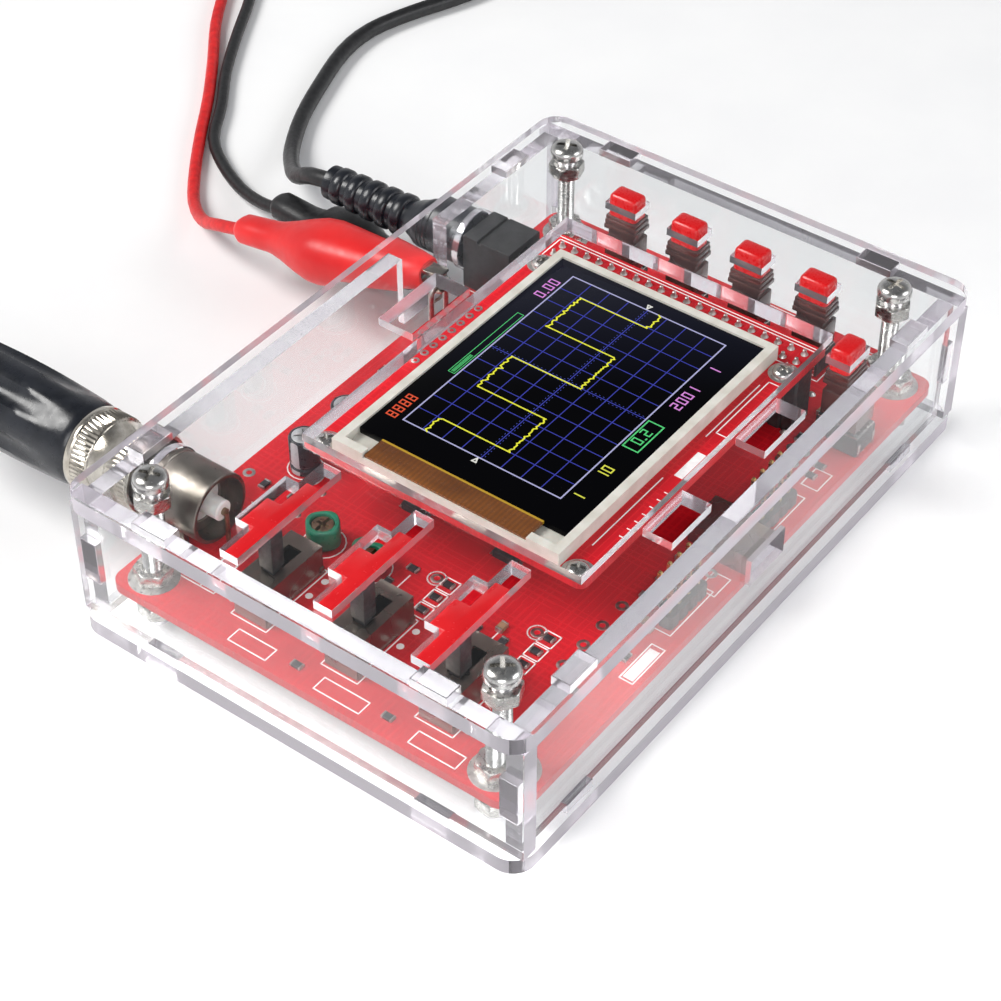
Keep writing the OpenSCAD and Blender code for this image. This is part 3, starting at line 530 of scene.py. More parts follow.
def ink(strokes, height, thick=0.22, rise=0.025):
    """Prints strokes as thin raised lines. A stroke is a list of (x, y) in mm."""
    bm = bmesh.new()
    for stroke in strokes:
        for (ax, ay), (bx, by) in zip(stroke, stroke[1:]):
            run = math.hypot(bx - ax, by - ay)
            if run < 1e-6:
                continue
            ux, uy = (bx - ax) / run * thick / 2, (by - ay) / run * thick / 2
            foot = [(ax - ux + uy, ay - uy - ux), (bx + ux + uy, by + uy - ux),
                    (bx + ux - uy, by + uy + ux), (ax - ux - uy, ay - uy + ux)]
            low = [bm.verts.new(spot(x, y, height)) for x, y in foot]
            high = [bm.verts.new(spot(x, y, height + rise)) for x, y in foot]
            bm.faces.new(low[::-1])
            bm.faces.new(high)
            for k in range(4):
                bm.faces.new((low[k], low[(k + 1) % 4], high[(k + 1) % 4], high[k]))
    return bm


def frame_box_line(x, y, length, width):
    return [(x, y), (x + length, y), (x + length, y + width), (x, y + width), (x, y)]


def circle_line(x, y, r, sides=20):
    return [(x + r * math.cos(2 * math.pi * k / sides), y + r * math.sin(2 * math.pi * k / sides))
            for k in range(sides + 1)]


outlines = [frame_box_line(x, y, length, width) for x, y, length, width in [
    (10.7, 18.7, 13, 7), (10.7, 36.5, 13, 7), (10.7, 54.3, 13, 7), (6.2, 50.6, 2.7, 7.4), (6.2, 32.6, 2.7, 8.6),
    (6.2, 14.8, 2.7, 8.6), (24.3, 36.1, 2.9, 2.7), (27.6, 36.1, 2.9, 2.7), (30.9, 36.1, 2.9, 2.7),
    (24.3, 17.1, 2.9, 2.7), (27.6, 17.1, 2.9, 2.7), (30.9, 17.1, 2.9, 2.7), (45, 7, 11.8, 3.4),
    (70.2, 7, 13.2, 3.4), (92.6, 66.9, 9.8, 14.2), (56, 6.3, 4.6, 3), (86, 6.3, 4.6, 3), (33.4, 5.9, 8.6, 2.4)]]
outlines += [frame_box_line(107.8, y - 3.6, 7.2, 7.2) for y in (59.5, 46.8, 34.1, 21.4)]
outlines += [frame_box_line(117.2, y + 0.3, 2.5, 4.4) for y in (59.5, 46.8, 34.1, 21.4, 10)]
outlines += [circle_line(x, y, r) for x, y, r in [
    (28.3, 58.9, 3.5), (28.3, 49.6, 3.5), (72, 70.6, 3.6), (50, 72, 2.95), (40, 72.5, 2.95), (89, 66, 2.95),
    (32.6, 39.9, 1.5), (32.5, 20.7, 1.5)]]
outlines += [[(26, y), (30.6, y)] for y in (43.6, 25.4)] + [[(99, 5.6), (99, 6.4), (103, 6.4)],
                                                            [(120.6, 26), (120.6, 40)]]
solid("board_legend", ink(outlines, board_top), legend_ink, "case", smooth=False)
repeat("legend_dots", [(x, y, board_top) for x in (17.9, 21.7) for y in (53.2, 35.4)],
       turned([(0, 0), (0.62, 0), (0.6, 0.03), (0, 0.03)], 18), legend_ink)
frames = [(117.6, y + 0.7, 1.7, 3.6) for y in (59.5, 46.8, 34.1, 21.4, 10)] + [(33.9, 6.4, 7.6, 1.4)]
blocks_ink = [[(x + 0.2 + 0.4 * k, y), (x + 0.2 + 0.4 * k, y + w)] for x, y, length, w in frames
              for k in range(int(length / 0.4))]
solid("label_blocks", ink(blocks_ink, board_top, 0.4), legend_ink, "case", smooth=False)

# Surface-mount parts in the open strip of board: ceramic chip resistors and capacitors, reflow soldered.
resistor_black = speckled(
    "resistor_black", (900, 3, (0.012, 0.012, 0.014), (0.03, 0.03, 0.034)), (1300, 3, 0.3, 0.5))
chip_tan = speckled(
    "chip_tan", (700, 4, (0.24, 0.14, 0.075), (0.34, 0.21, 0.12)), (1300, 3, 0.4, 0.6))
resistor_places = [(x, y, board_top, 90) for x in (25.75, 29.05, 32.35) for y in (37.45, 18.45)]
resistor_places += [(x, y, board_top, t) for x, y, t in [
    (27.4, 31.2, 0), (27.4, 28.4, 0), (31.6, 30.6, 90), (27.2, 45.4, 0), (31.9, 44, 90), (27.6, 23.6, 0),
    (26, 11.6, 90), (8.2, 28.6, 90), (8.2, 46, 90), (37.2, 9.8, 0), (48.5, 11.9, 90), (53, 11.9, 90),
    (66.5, 12.3, 0), (88.4, 9, 90), (91.2, 9, 90), (93.8, 12.4, 0), (105, 30, 90), (105, 43.6, 90),
    (105.2, 58, 90), (46, 77.5, 0), (56.4, 72.4, 90), (62, 74.6, 0), (66.4, 77.6, 0), (84.6, 70.6, 90),
    (34.2, 70.2, 90), (32.8, 75, 0)]]


def end_caps(height, soft):
    return joined(*[block(x, -0.62, 0.04, 0.34, 1.24, height, soft) for x in (-1.0, 0.66)])


repeat("chip_ends", resistor_places, end_caps(0.5, 0.06), tin)
repeat("chip_bodies", resistor_places, block(-0.68, -0.6, 0.05, 1.36, 1.2, 0.46, 0.05), resistor_black)
tan_places = [(29.8, 34.2, board_top, 0), (24.8, 33.6, board_top, 90), (29.9, 25.4, board_top, 0),
              (24.6, 47.6, board_top, 90), (101.4, 12.9, board_top, 0), (58.5, 12, board_top, 90),
              (44, 10.6, board_top, 90)]
repeat("tan_bodies", tan_places, block(-0.68, -0.6, 0.05, 1.36, 1.2, 0.85, 0.08), chip_tan)
repeat("tan_ends", tan_places, end_caps(0.88, 0.08), tin)

# ---------------------------------------------------------------- board chips
# Six moulded epoxy chips with tin-plated gull-wing legs, soldered flat on the board.
# Each has a small round dimple at its first leg.
epoxy = speckled(
    "epoxy", (900, 4, (0.01, 0.01, 0.011), (0.022, 0.022, 0.024)), (1800, 3, 0.42, 0.6),
    (3000, 2, 0.25, 4e-05))
chip_list = [(60, 40, 7, 7, 1.4), (44, 52, 5, 4, 1.5), (44, 34, 5, 4, 1.5), (80, 56, 5, 6, 1.6),
             (84, 30, 5, 6, 1.6), (106.3, 70, 6, 6, 2.3)]
chip_parts, leg_places = [], []
for x, y, length, width, height in chip_list:
    shell = set_block(x - length / 2, y - width / 2, board_top + 0.1, length, width, height - 0.1, 0.12)
    chip_parts.append(cut_out(shell, moved(turned([(0, height - 0.1), (0.4, height - 0.1), (0.4, height + 1),
                                                   (0, height + 1)], 12),
                                           spot(x - length / 2 + 0.9, y - width / 2 + 0.9, board_top))))
    count = int(length)
    for k in range(count):
        across = x + k - (count - 1) / 2
        leg_places += [(across, y - width / 2, board_top, 0), (across, y + width / 2, board_top, 180)]
chip_set = solid("chip_set", joined(*chip_parts), epoxy, "case")
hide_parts("board_chips")
leg = joined(block(-0.2, -0.75, 0.02, 0.4, 0.5, 0.12), block(-0.2, -0.35, 0.02, 0.4, 0.13, 0.75),
             block(-0.2, -0.35, 0.64, 0.4, 0.5, 0.13))
repeat("chip_legs", leg_places, leg, tin, smooth=False)

# ---------------------------------------------------------------- capacitors
# Four aluminium can capacitors in shrunk black sleeves, with a rolled groove and a scored top.
# Each stands on its rubber bung, with a pale stripe down its minus side.
sleeve, tree, shader = mix_finish("sleeve")
stripe_side = step(tree, "ShaderNodeSeparateXYZ",
                   {0: tree.nodes.new("ShaderNodeTexCoord").outputs["Normal"]}).outputs[0]
stripe = reckon(tree, "LESS_THAN", stripe_side, -0.94)
set_sockets(tree, shader, {
    "Base Color": blend(tree, stripe, two_tone(tree, grain(tree, 600, 3), (0.010, 0.011, 0.016),
                                               (0.020, 0.021, 0.028)), (0.42, 0.43, 0.45, 1)),
    "Roughness": between(tree, grain(tree, 900, 3), 0.24, 0.4)})
can_aluminium = plated_steel("can_aluminium", (0.62, 0.62, 0.63), (0.76, 0.76, 0.77), 0.3, 0.45)
can_places = [(72, 70.6, 3.15, 9), (50, 72, 2.5, 7), (40, 72.5, 2.5, 7), (89, 66, 2.5, 7)]
sleeves, tops = [], []
for x, y, r, h in can_places:
    sleeves.append(moved(turned([(0, 0), (r - 0.25, 0), (r - 0.04, 0.2), (r, 0.5), (r, 1.1), (r - 0.3, 1.4),
                                 (r - 0.3, 1.7), (r, 2.0), (r, h - 0.45), (r - 0.12, h - 0.15),
                                 (r - 0.45, h - 0.02), (r - 0.5, h - 0.12), (0, h - 0.12)], 36),
                                 spot(x, y, board_top)))
    lid = turned([(0, h - 0.3), (r - 0.55, h - 0.3), (r - 0.55, h - 0.08), (r - 0.7, h - 0.03), (0, h - 0.03)],
                 36)
    for a in (0, 90):
        lid = cut_out(lid, moved(block(-r * 0.62, -0.1, h - 0.12, r * 1.24, 0.2, 1),
                                 turn=spin_about("Z", a + 45)))
    tops.append(moved(lid, spot(x, y, board_top)))
can_sleeves = solid("can_sleeves", joined(*sleeves), sleeve, "case")
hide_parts("capacitors")
solid("can_lids", joined(*tops), can_aluminium, "case")

# ---------------------------------------------------------------- trimmers
# Two trimmer capacitors: green moulded polymer bodies with brass rotors that a screwdriver turns.
# The body is pressed and hollow, with two solder lugs; the rotor drops into it and turns.
trimmer_green = speckled(
    "trimmer_green", (500, 4, (0.003, 0.1, 0.055), (0.006, 0.17, 0.095)), (900, 3, 0.25, 0.42),
    (1500, 3, 0.2, 5e-05), {"Coat Weight": 0.3, "Coat Roughness": 0.15})
rotor_brass = plated_steel("rotor_brass", (0.22, 0.17, 0.11), (0.38, 0.31, 0.20), 0.26, 0.42)


def eight_sided(r, h, a):
    return r if r < 2.2 else r * (0.955 + 0.045 * math.cos(4 * a))


trimmer_places = ((28.3, 58.9), (28.3, 49.6))
trimmer_cups = solid("trimmer_cups", joined(*[
    moved(turned([(1.95, 1.5), (1.95, 4.25), (2.1, 4.4), (2.75, 4.4), (2.95, 4.2), (3.0, 3.9), (3.0, 1.0),
                  (2.9, 0.7), (2.6, 0.3), (0, 0.3)], 40, eight_sided), spot(x, y, board_top))
                  for x, y in trimmer_places]
    + [moved(turned([(0, 1.5), (1.98, 1.5), (1.98, 1.45), (0, 1.45)], 24), spot(x, y, board_top))
       for x, y in trimmer_places]), trimmer_green, "case")
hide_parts("trimmer_bodies")
lugs = repeat("trimmer_lugs", [(x, y, board_top, t) for x, y in trimmer_places for t in (0, 180)],
              joined(block(2.5, -0.5, 0.02, 1.3, 1.0, 0.18, 0.05), block(2.5, -0.5, 0.05, 0.2, 1.0, 1.6, 0.05)),
              tin)
for k, (x, y) in enumerate(trimmer_places, 1):
    rotor = turned([(0, 0), (1.75, 0), (1.88, 0.15), (1.88, 2.3), (1.72, 2.48), (0, 2.48)], 36)
    rotor = cut_out(rotor, block(-2.4, -0.28, 1.65, 4.8, 0.56, 2))
    rotor = cut_out(rotor, block(-0.28, -1.1, 1.65, 0.56, 2.2, 2))
    piece = solid(f"rotor_{k}", moved(rotor, spot(x, y, board_top + 1.52)), rotor_brass, f"trimmer_{k}")
    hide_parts(f"trimmer_rotor_{k}")

# ---------------------------------------------------------------- slide switches
# Three tinned steel slide switches: a folded can over a phenolic base, its lever worn grey-brown.
# The can is stamped and its side tabs are bent under and soldered into the board.
can_steel = speckled(
    "can_steel", (90, 3, (0.2, 0.165, 0.14), (0.38, 0.33, 0.29), 0.25, 0.75), (140, 2, 0.24, 0.32),
    more={"Metallic": 1.0})
finish_node("switch_cans", can_steel)
lever_black = speckled(
    "lever_black", (700, 4, (0.012, 0.012, 0.013), (0.03, 0.03, 0.031)), (1600, 3, 0.38, 0.56),
    (2600, 2, 0.1, 4e-06))
for k in (1, 2, 3):
    finish_node(f"slide_lever_{k}", lever_black)
folds = []
for y in (22.2, 40.0, 57.8):
    for x in (11.4, 22.4):
        for side in (-1, 1):
            folds.append(set_block(x, y + side * 3.17 - 0.12, board_top, 0.9, 0.24, 1.3, 0.06))
    folds.append(set_block(11.05, y - 2.6, board_top + 5.46, 0.2, 5.2, 0.12, 0.03))
solid("can_tabs", joined(*folds), can_steel, "case")

# Each lever carries a loose cap: a flat bar of glossy red acrylic that fills its slot in the top plate.
red_acrylic = speckled(
    "red_acrylic", (160, 4, (0.6, 0.004, 0.008), (0.7, 0.008, 0.012)), (1100, 3, 0.16, 0.28),
    (260, 3, 0.08, 1e-05), {"Coat Weight": 0.4, "Coat Roughness": 0.08})


def slab(corners, low, thick, soft):
    """Cuts a slab to an outline in mm and rounds its edges."""
    bm = bmesh.new()
    foot, head = [[bm.verts.new(spot(x, y, z)) for x, y in corners] for z in (low, low + thick)]
    bm.faces.new(foot[::-1])
    bm.faces.new(head)
    for k in range(len(corners)):
        after = (k + 1) % len(corners)
        bm.faces.new((foot[k], foot[after], head[after], head[k]))
    bm.normal_update()
    bmesh.ops.bevel(bm, geom=bm.edges[:], offset=soft / 1000, segments=2, profile=0.5, affect="EDGES")
    return bm


for k in (1, 2, 3):
    y = 22.2 + 17.8 * (3 - k)
    low = y - 2.9 + 0.3  # half the slot's width, less the play
    bar = slab([(5.4, low), (24.4, low), (24.4, low + 2.8), (18.3, low + 2.8), (18.3, low + 5.4),
                (12.1, low + 5.4), (12.1, low + 2.8), (5.4, low + 2.8)], 25.7, 2.0, 0.25)
    foot = cut_out(set_block(13.8, y - 1.4, 16.3, 2.8, 2.8, 9.45, 0.2),
                   set_block(14.18, y - 1.02, 15, 2.04, 2.04, 4.74))
    post = solid(f"slider_post_{k}", foot, lever_black, f"slider_{k}")
    cap = solid(f"slider_cap_{k}", bar, red_acrylic, f"slider_{k}")
    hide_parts(f"slide_cap_{k}")

# ---------------------------------------------------------------- push buttons
# Five tact switches: a black nylon base, a pressed steel cover held by four hot-formed pegs, and a snap dome.
# Smoked stems stand on them, and a red moulded cap with rounded edges is pushed on each stem.
button_seats = [(111.4, 59.5, board_top, 0), (111.4, 46.8, board_top, 0), (111.4, 34.1, board_top, 0),
                (111.4, 21.4, board_top, 0), (99.3, 8.4, board_top, 90)]
tact_base = cut_out(block(-2.95, -2.95, 0.1, 5.9, 5.9, 3.75, 0.22),
                    moved(turned([(0, 2), (1.9, 2), (1.9, 9), (0, 9)], 28)))
pegs = [moved(turned([(0.45, 3.6), (0.42, 4.15), (0.25, 4.28), (0, 4.3)], 12),
              Vector((sx * 0.0023, sy * 0.0023, 0)))
        for sx in (-1, 1) for sy in (-1, 1)]
tact_set = repeat("tact_set", button_seats, joined(tact_base, *pegs), lever_black)
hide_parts("tact_switches")
cover = cut_out(block(-2.8, -2.8, 3.82, 5.6, 5.6, 0.3, 0.1), turned([(0, 3), (1.95, 3), (1.95, 9), (0, 9)], 28))
legs = [block(sx * 3.05 - 0.1, sy - 0.35, 0.02, 0.2, 0.7, 2.6, 0.05) for sx in (-1, 1) for sy in (-2.25, 2.25)]
repeat("tact_covers", button_seats, joined(cover, *legs), screw_steel)
smoke = speckled(
    "smoke", (120, 2, (0.05, 0.02, 0.018), (0.1, 0.042, 0.038)), (120, 2, 0.16, 0.24),
    more={"Coat Weight": 0.3, "Coat Roughness": 0.06})
button_red = speckled(
    "button_red", (200, 2, (0.6, 0.003, 0.005), (0.66, 0.005, 0.007), 0.2, 0.8), (1100, 3, 0.22, 0.34),
    (1400, 3, 0.1, 4e-06), {"Coat Weight": 0.3, "Coat Roughness": 0.12})
for k, (x, y, z, t) in enumerate(button_seats, 1):
    spin = spin_about("Z", t)
    stem = joined(turned([(0, 2.5), (1.6, 2.5), (1.65, 2.6), (1.65, 4.75), (0, 4.75)], 28),
                  block(-2.4, -2.9, 4.7, 4.8, 5.8, 5.0, 0.3), block(-1.8, -2.6, 9.6, 3.6, 5.2, 4.5, 0.2),
                  block(-2.3, -3.2, 11.3, 4.6, 6.4, 0.85, 0.12), block(-2.2, -3.1, 12.35, 4.4, 6.2, 0.8, 0.12),
                  block(-2.1, -3.0, 13.3, 4.2, 6.0, 0.7, 0.12))
    piece = solid(f"stem_{k}", moved(stem, spot(x, y, z), spin), smoke, f"button_{k}")
    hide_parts(f"button_stem_{k}")
    top = block(-1.9, -2.8, 14.12, 3.8, 5.6, 5.78)
    bmesh.ops.bevel(top, geom=[e for e in top.edges if abs(e.verts[0].co.z - e.verts[1].co.z) > 0.001
                               or e.verts[0].co.z > 0.019], offset=0.00085, segments=4, profile=0.5,
                               affect="EDGES")
    piece = solid(f"cap_{k}", moved(top, spot(x, y, z), spin), button_red, f"button_{k}")
    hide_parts(f"button_cap_{k}")

# ---------------------------------------------------------------- headers
# Two four-pin headers at the front edge and the display's two-row socket, in black glass-filled nylon.
# Each cell is chamfered at its corners; the square pins are gold plated and tapered at the tips.
gold_plate = plated_steel("gold_plate", (0.55, 0.38, 0.13), (0.72, 0.53, 0.22), 0.2, 0.34)


def cell(length, width, height):
    bm = block(-length / 2, -width / 2, 0.02, length, width, height - 0.02)
    bmesh.ops.bevel(bm, geom=[e for e in bm.edges if abs(e.verts[0].co.z - e.verts[1].co.z) > 0.0005],
                    offset=0.0004, segments=1, affect="EDGES")
    return bm


def square_pin(low, high, side):
    bm = block(-side / 2, -side / 2, low, side, side, high - low)
    tip = [f for f in bm.faces if f.normal.z > 0.9]
    bmesh.ops.inset_region(bm, faces=tip, thickness=side * 0.00028, depth=0.0)
    for v in bm.verts:
        if abs(v.co.z - high / 1000) < 1e-7 and v not in tip[0].verts:
            v.co.z -= 0.00035
    return bm


front_row = [(c + (i - 1.5) * 2.54, 8.7, board_top) for c in (50.9, 76.8) for i in range(4)]
socket_row = [(97.67, 40.1 + (i - 9.5) * 2.54, board_top) for i in range(20)]
left_row = [(37, y + s * 1.25, board_top) for y in (21.2, 59) for s in (-1, 1)]
front_cells = repeat("front_cells", front_row, cell(2.54, 2.5, 2.5), lever_black, smooth=False)
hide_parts("header_bases")
repeat("socket_cells", socket_row, joined(cell(5.0, 2.54, 8.5),
                                          moved(cell(5.0, 2.54, 3.98), Vector((0, 0, 0.0085)))),
       lever_black, smooth=False)
front_pins = repeat("front_pins", front_row, square_pin(2.45, 8.5, 0.6), gold_plate, smooth=False)
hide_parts("header_pins")
repeat("pin_joints", [(x, 40.1 + (i - 9.5) * 2.54, 24.3) for i in range(20) for x in (96.4, 98.94)],
       turned([(0, 0.0), (0.66, 0.01), (0.58, 0.14), (0.42, 0.36), (0.34, 0.7), (0.32, 0.9), (0.2, 1.0),
               (0, 1.0)], 14),
       tin)

# ---------------------------------------------------------------- USB socket
# A mini USB socket in a folded, tinned steel shell with a black tongue inside.
# It sits at the front edge, behind its opening in the front panel.
finish_node("usb_socket", can_steel)
solid("usb_tongue", set_block(64.2, 6.2, board_top + 1.7, 4.9, 5.5, 0.7, 0.1), lever_black, "case")

# ---------------------------------------------------------------- display board
# The display's own red board on its socket, with a white legend, ringed holes and four small screws.
# Through its screws it stands level on the main board's headers.
finish_node("lcd_board", red_mask("display_board_mask"))
lcd_top = 24.3
lcd_corners = [(x, y, lcd_top) for y in (16.1, 64.1) for x in (36.1, 92.9)]
repeat("lcd_pads", lcd_corners,
       ring(1.2, 2.6), tin)
repeat("lcd_holes", [(60 + 2.4 * k, 65.4, lcd_top) for k in range(8)]
       + [(34.4, 30 + 2.4 * k, lcd_top) for k in range(9)], ring(0.35, 0.72), tin)
lcd_strokes = [frame_box_line(33.9, 13.9, 67.2, 52.4), [(42, 17.6), (60.5, 17.6)], [(72.6, 17.6), (88, 17.6)],
               frame_box_line(74.2, 14.7, 15.4, 2.1), frame_box_line(95.0, 14.5, 5.4, 51.2)]
lcd_strokes += [[(95.0, 14.5 + 2.56 * k), (95.5, 14.5 + 2.56 * k)] for k in range(1, 20)]
lcd_strokes += [[(46 + 2 * k, 14.6), (46 + 2 * k, 15.5)] for k in range(7)]
solid("lcd_legend", ink(lcd_strokes, lcd_top, 0.2), legend_ink, "case", smooth=False)
solid("lcd_bar", ink([[(62.2, 15.2 + 0.3 * k), (68.6, 15.2 + 0.3 * k)] for k in range(5)], lcd_top, 0.3),
      legend_ink, "case", smooth=False)
small_screw = cut_out(cut_out(turned([(0, -2.4), (0.7, -2.4), (0.72, 0), (1.8, 0), (1.88, 0.1), (1.88, 0.35),
                                      (1.7, 0.72), (1.2, 0.98), (0.6, 1.08), (0, 1.1)], 28),
                              block(-1.1, -0.22, 0.4, 2.2, 0.44, 2)), block(-0.22, -1.1, 0.4, 0.44, 2.2, 2))
lcd_screw_set = repeat("lcd_screw_set", lcd_corners,
                       small_screw, screw_steel, most_turn=1.4, seed=11)
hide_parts("lcd_screws")

# ---------------------------------------------------------------- display frame
# A thin cream polycarbonate frame holds the glass; it is moulded with a matt, finely sparked face.
# The amber film of the display's own flex folds over the frame's left rim.
cream_frame = speckled(
    "cream_frame", (300, 4, (0.6, 0.575, 0.51), (0.72, 0.7, 0.64)), (1500, 3, 0.38, 0.52),
    (2800, 2, 0.3, 3e-05), {"Subsurface Weight": 0.06, "Subsurface Scale": 0.001})
finish_node("lcd_bezel", cream_frame)
amber_film, tree, shader = mix_finish("amber_film")
film_x = step(tree, "ShaderNodeSeparateXYZ", {0: where(tree)}).outputs[0]
film_y = step(tree, "ShaderNodeSeparateXYZ", {0: where(tree)}).outputs[1]
comb = reckon(tree, "PINGPONG", film_y, 0.0004)
teeth = reckon(tree, "LESS_THAN", comb, 0.0002)
glow_edge = reckon(tree, "GREATER_THAN", film_x, -0.0234)
film = two_tone(tree, grain(tree, 120, 5, (1, 0.3, 1)), (0.09, 0.026, 0.006), (0.26, 0.085, 0.014))
toothed = blend(tree, reckon(tree, "MULTIPLY", teeth, 0.35), film, (0.08, 0.03, 0.01, 1))
set_sockets(tree, shader, {
    "Base Color": blend(tree, glow_edge, toothed, (0.45, 0.27, 0.02, 1)),
    "Roughness": between(tree, grain(tree, 800, 3), 0.16, 0.3), "Coat Weight": 0.4, "Coat Roughness": 0.1})
finish_node("lcd_flex", amber_film)

# ---------------------------------------------------------------- display glass
# The display: a sheet of polished glass over a black cell that glows faintly blue at one corner.
# Its picture is a blue grid, a yellow square wave and plain number readings.
glass_black, tree, shader = mix_finish("glass_black")
place = where(tree)
far = step(tree, "ShaderNodeVectorMath", {0: place, 1: (22.0, 14.0, 0)}, operation="DOT_PRODUCT").outputs["Value"]
glow = step(tree, "ShaderNodeMapRange", {"Value": far, "From Min": 0.05}).outputs[0]
haze = reckon(tree, "MULTIPLY", glow, between(tree, grain(tree, 30, 3), 0.7, 1.0))
tint = blend(tree, haze, (0.001, 0.001, 0.0014, 1), (0.002, 0.003, 0.013, 1))
set_sockets(tree, shader, {
    "Base Color": tint, "Roughness": between(tree, grain(tree, 500, 3), 0.05, 0.09), "Specular IOR Level": 0.05,
    "Emission Color": tint, "Emission Strength": 0.5})
glass_top = 26.55
display_glass = solid("display_glass", set_block(40, 20.4, 25.3, 53.9, 40.2, 1.25, 0.15), glass_black, "case")
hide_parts("lcd_glass")


def lit(name, shade, dim, strength):
    finish, tree, shader = mix_finish(name)
    set_sockets(tree, shader, {
        "Base Color": (0.01, 0.01, 0.012, 1), "Roughness": 0.2,
        "Emission Color": two_tone(tree, grain(tree, 3500, 1), dim, shade), "Emission Strength": strength})
    return finish


cells_x, cells_y, cell_w, cell_h = 45.4, 26.0, 45.4 / 12, 30.2 / 8


def on_screen(u, v):
    return cells_x + u * cell_w, cells_y + v * cell_h


def screen_piece(name, strokes, finish, thick, level=0.0):
    return solid(name, ink([[on_screen(u, v) for u, v in s] for s in strokes], glass_top + level, thick, 0.01),
                 finish, "case", smooth=False)


screen_piece("grid_lines", [[(u, 0), (u, 8)] for u in range(1, 12)] + [[(0, v), (12, v)] for v in range(1, 8)],
             lit("grid_blue", (0.04, 0.05, 0.50), (0.03, 0.04, 0.36), 0.9), 0.16)
screen_piece("grid_dots", [[(u / 5 - 0.02, 4 + s), (u / 5 + 0.02, 4 + s)] for u in range(1, 60)
                           for s in (-0.1, 0.1)]
             + [[(6 + s, v / 5 - 0.02), (6 + s, v / 5 + 0.02)] for v in range(1, 40) for s in (-0.1, 0.1)],
             lit("dot_blue", (0.06, 0.09, 0.5), (0.04, 0.06, 0.35), 0.9), 0.1)
screen_piece("grid_frame", [frame_box_line(0, 0, 12, 8)],
             lit("frame_lavender", (0.50, 0.50, 0.78), (0.40, 0.40, 0.66), 0.95), 0.24, 0.005)
wave = []
edges = [0.0, 1.0, 3.53, 5.96, 8.48, 10.95, 12.0]
for k, (u0, u1) in enumerate(zip(edges, edges[1:])):
    level = 6.85 if k % 2 == 0 else 3.3
    steps = int((u1 - u0) / 0.085)
    for i in range(steps + 1):
        u = u0 + (u1 - u0) * i / steps
        wobble = 0.07 * math.sin(17.3 * u
                                 + 2.1 * k) * math.sin(41.7 * u) + (0.09 if (i * 7 + k * 3) % 11 == 0 else 0)
        wave.append((u, level + wobble * (1 if k % 2 else -1)))
screen_piece("wave", [wave], lit("wave_yellow", (0.86, 0.86, 0.05), (0.6, 0.6, 0.03), 1.1), 0.26, 0.012)

segments = {"0": "abcdef", "1": "bc", "2": "abged", "4": "fgbc", "5": "afgcd", "6": "afgedc", "8": "abcdefg",
            "9": "abcdfg"}
segment_ends = {"a": ((0, 2), (1, 2)), "b": ((1, 2), (1, 1)), "c": ((1, 1), (1, 0)), "d": ((0, 0), (1, 0)),
                "e": ((0, 1), (0, 0)), "f": ((0, 2), (0, 1)), "g": ((0, 1), (1, 1))}


def digits(text, u, v, tall=0.46):
    strokes = []
    for sign in text:
        if sign == ".":
            strokes.append([(u - 0.04, v), (u + 0.02, v)])
            u += 0.2
            continue
        for s in segments[sign]:
            strokes.append([(u + p * tall * 0.5, v + q * tall / 2) for p, q in segment_ends[s]])
        u += tall * 0.5 + 0.2
    return strokes


magenta = lit("reading_magenta", (0.78, 0.30, 0.80), (0.6, 0.2, 0.62), 1.0)
yellow = lit("reading_yellow", (0.78, 0.80, 0.08), (0.6, 0.62, 0.05), 1.0)
green = lit("reading_green", (0.10, 0.75, 0.22), (0.06, 0.5, 0.15), 1.0)
red = lit("reading_red", (0.85, 0.10, 0.03), (0.6, 0.06, 0.02), 1.0)
white = lit("marker_white", (0.8, 0.8, 0.75), (0.6, 0.6, 0.55), 1.0)
screen_piece("reading_left", digits("8888", -0.1, 8.36), red, 0.24, 0.004)
screen_piece("reading_right", digits("0.00", 10.0, 8.2), magenta, 0.24, 0.004)
screen_piece("reading_range", digits("1", 0.35, -0.74) + digits("10", 2.0, -0.74), yellow, 0.25, 0.004)
screen_piece("reading_time", digits("0.2", 4.55, -0.72)
             + [frame_box_line(4.1, -0.9, 1.9, 0.75)], green, 0.24, 0.004)
screen_piece("reading_mode", digits("2001", 7.3, -0.78) + digits("1", 10.15, -0.78), magenta, 0.24, 0.004)
screen_piece("place_bar", [frame_box_line(3.6, 8.12, 4.9, 0.32), [(3.7, 8.28), (5.0, 8.28)],
                           [(3.7, 8.22), (5.0, 8.22)], [(3.7, 8.34), (5.0, 8.34)]], green, 0.12, 0.004)
screen_piece("markers", [[(-0.32, 4.2), (-0.06, 4.1), (-0.32, 4.0), (-0.32, 4.2)],
                         [(12.3, 4.2), (12.06, 4.1), (12.3, 4.0), (12.3, 4.2)]],
             white, 0.26, 0.004)

# ---------------------------------------------------------------- cables
# Two black cables: a thin power lead and a screened test lead, each a stranded core in soft PVC.
# What isn't in use is wound into a flat round coil of two layers, and lies behind the case.
cable_vinyl = speckled(
    "cable_vinyl", (900, 3, (0.006, 0.006, 0.007), (0.016, 0.016, 0.017)), (1500, 3, 0.34, 0.5),
    (2600, 3, 0.25, 6e-05))


def lay_points(stations, cuts=3):
    """Rounds a route's stations into an even line."""
    ends = [2 * stations[0] - stations[1]] + stations + [2 * stations[-1] - stations[-2]]
    line = []
    for a, b, c, d in zip(ends, ends[1:], ends[2:], ends[3:]):
        for k in range(cuts):
            t = k / cuts
            line.append(0.5 * (2 * b + (c - a) * t + (2 * a - 5 * b + 4 * c - d) * t * t
                               + (3 * b - a - 3 * c + d) * t ** 3))
    return line + [stations[-1]]


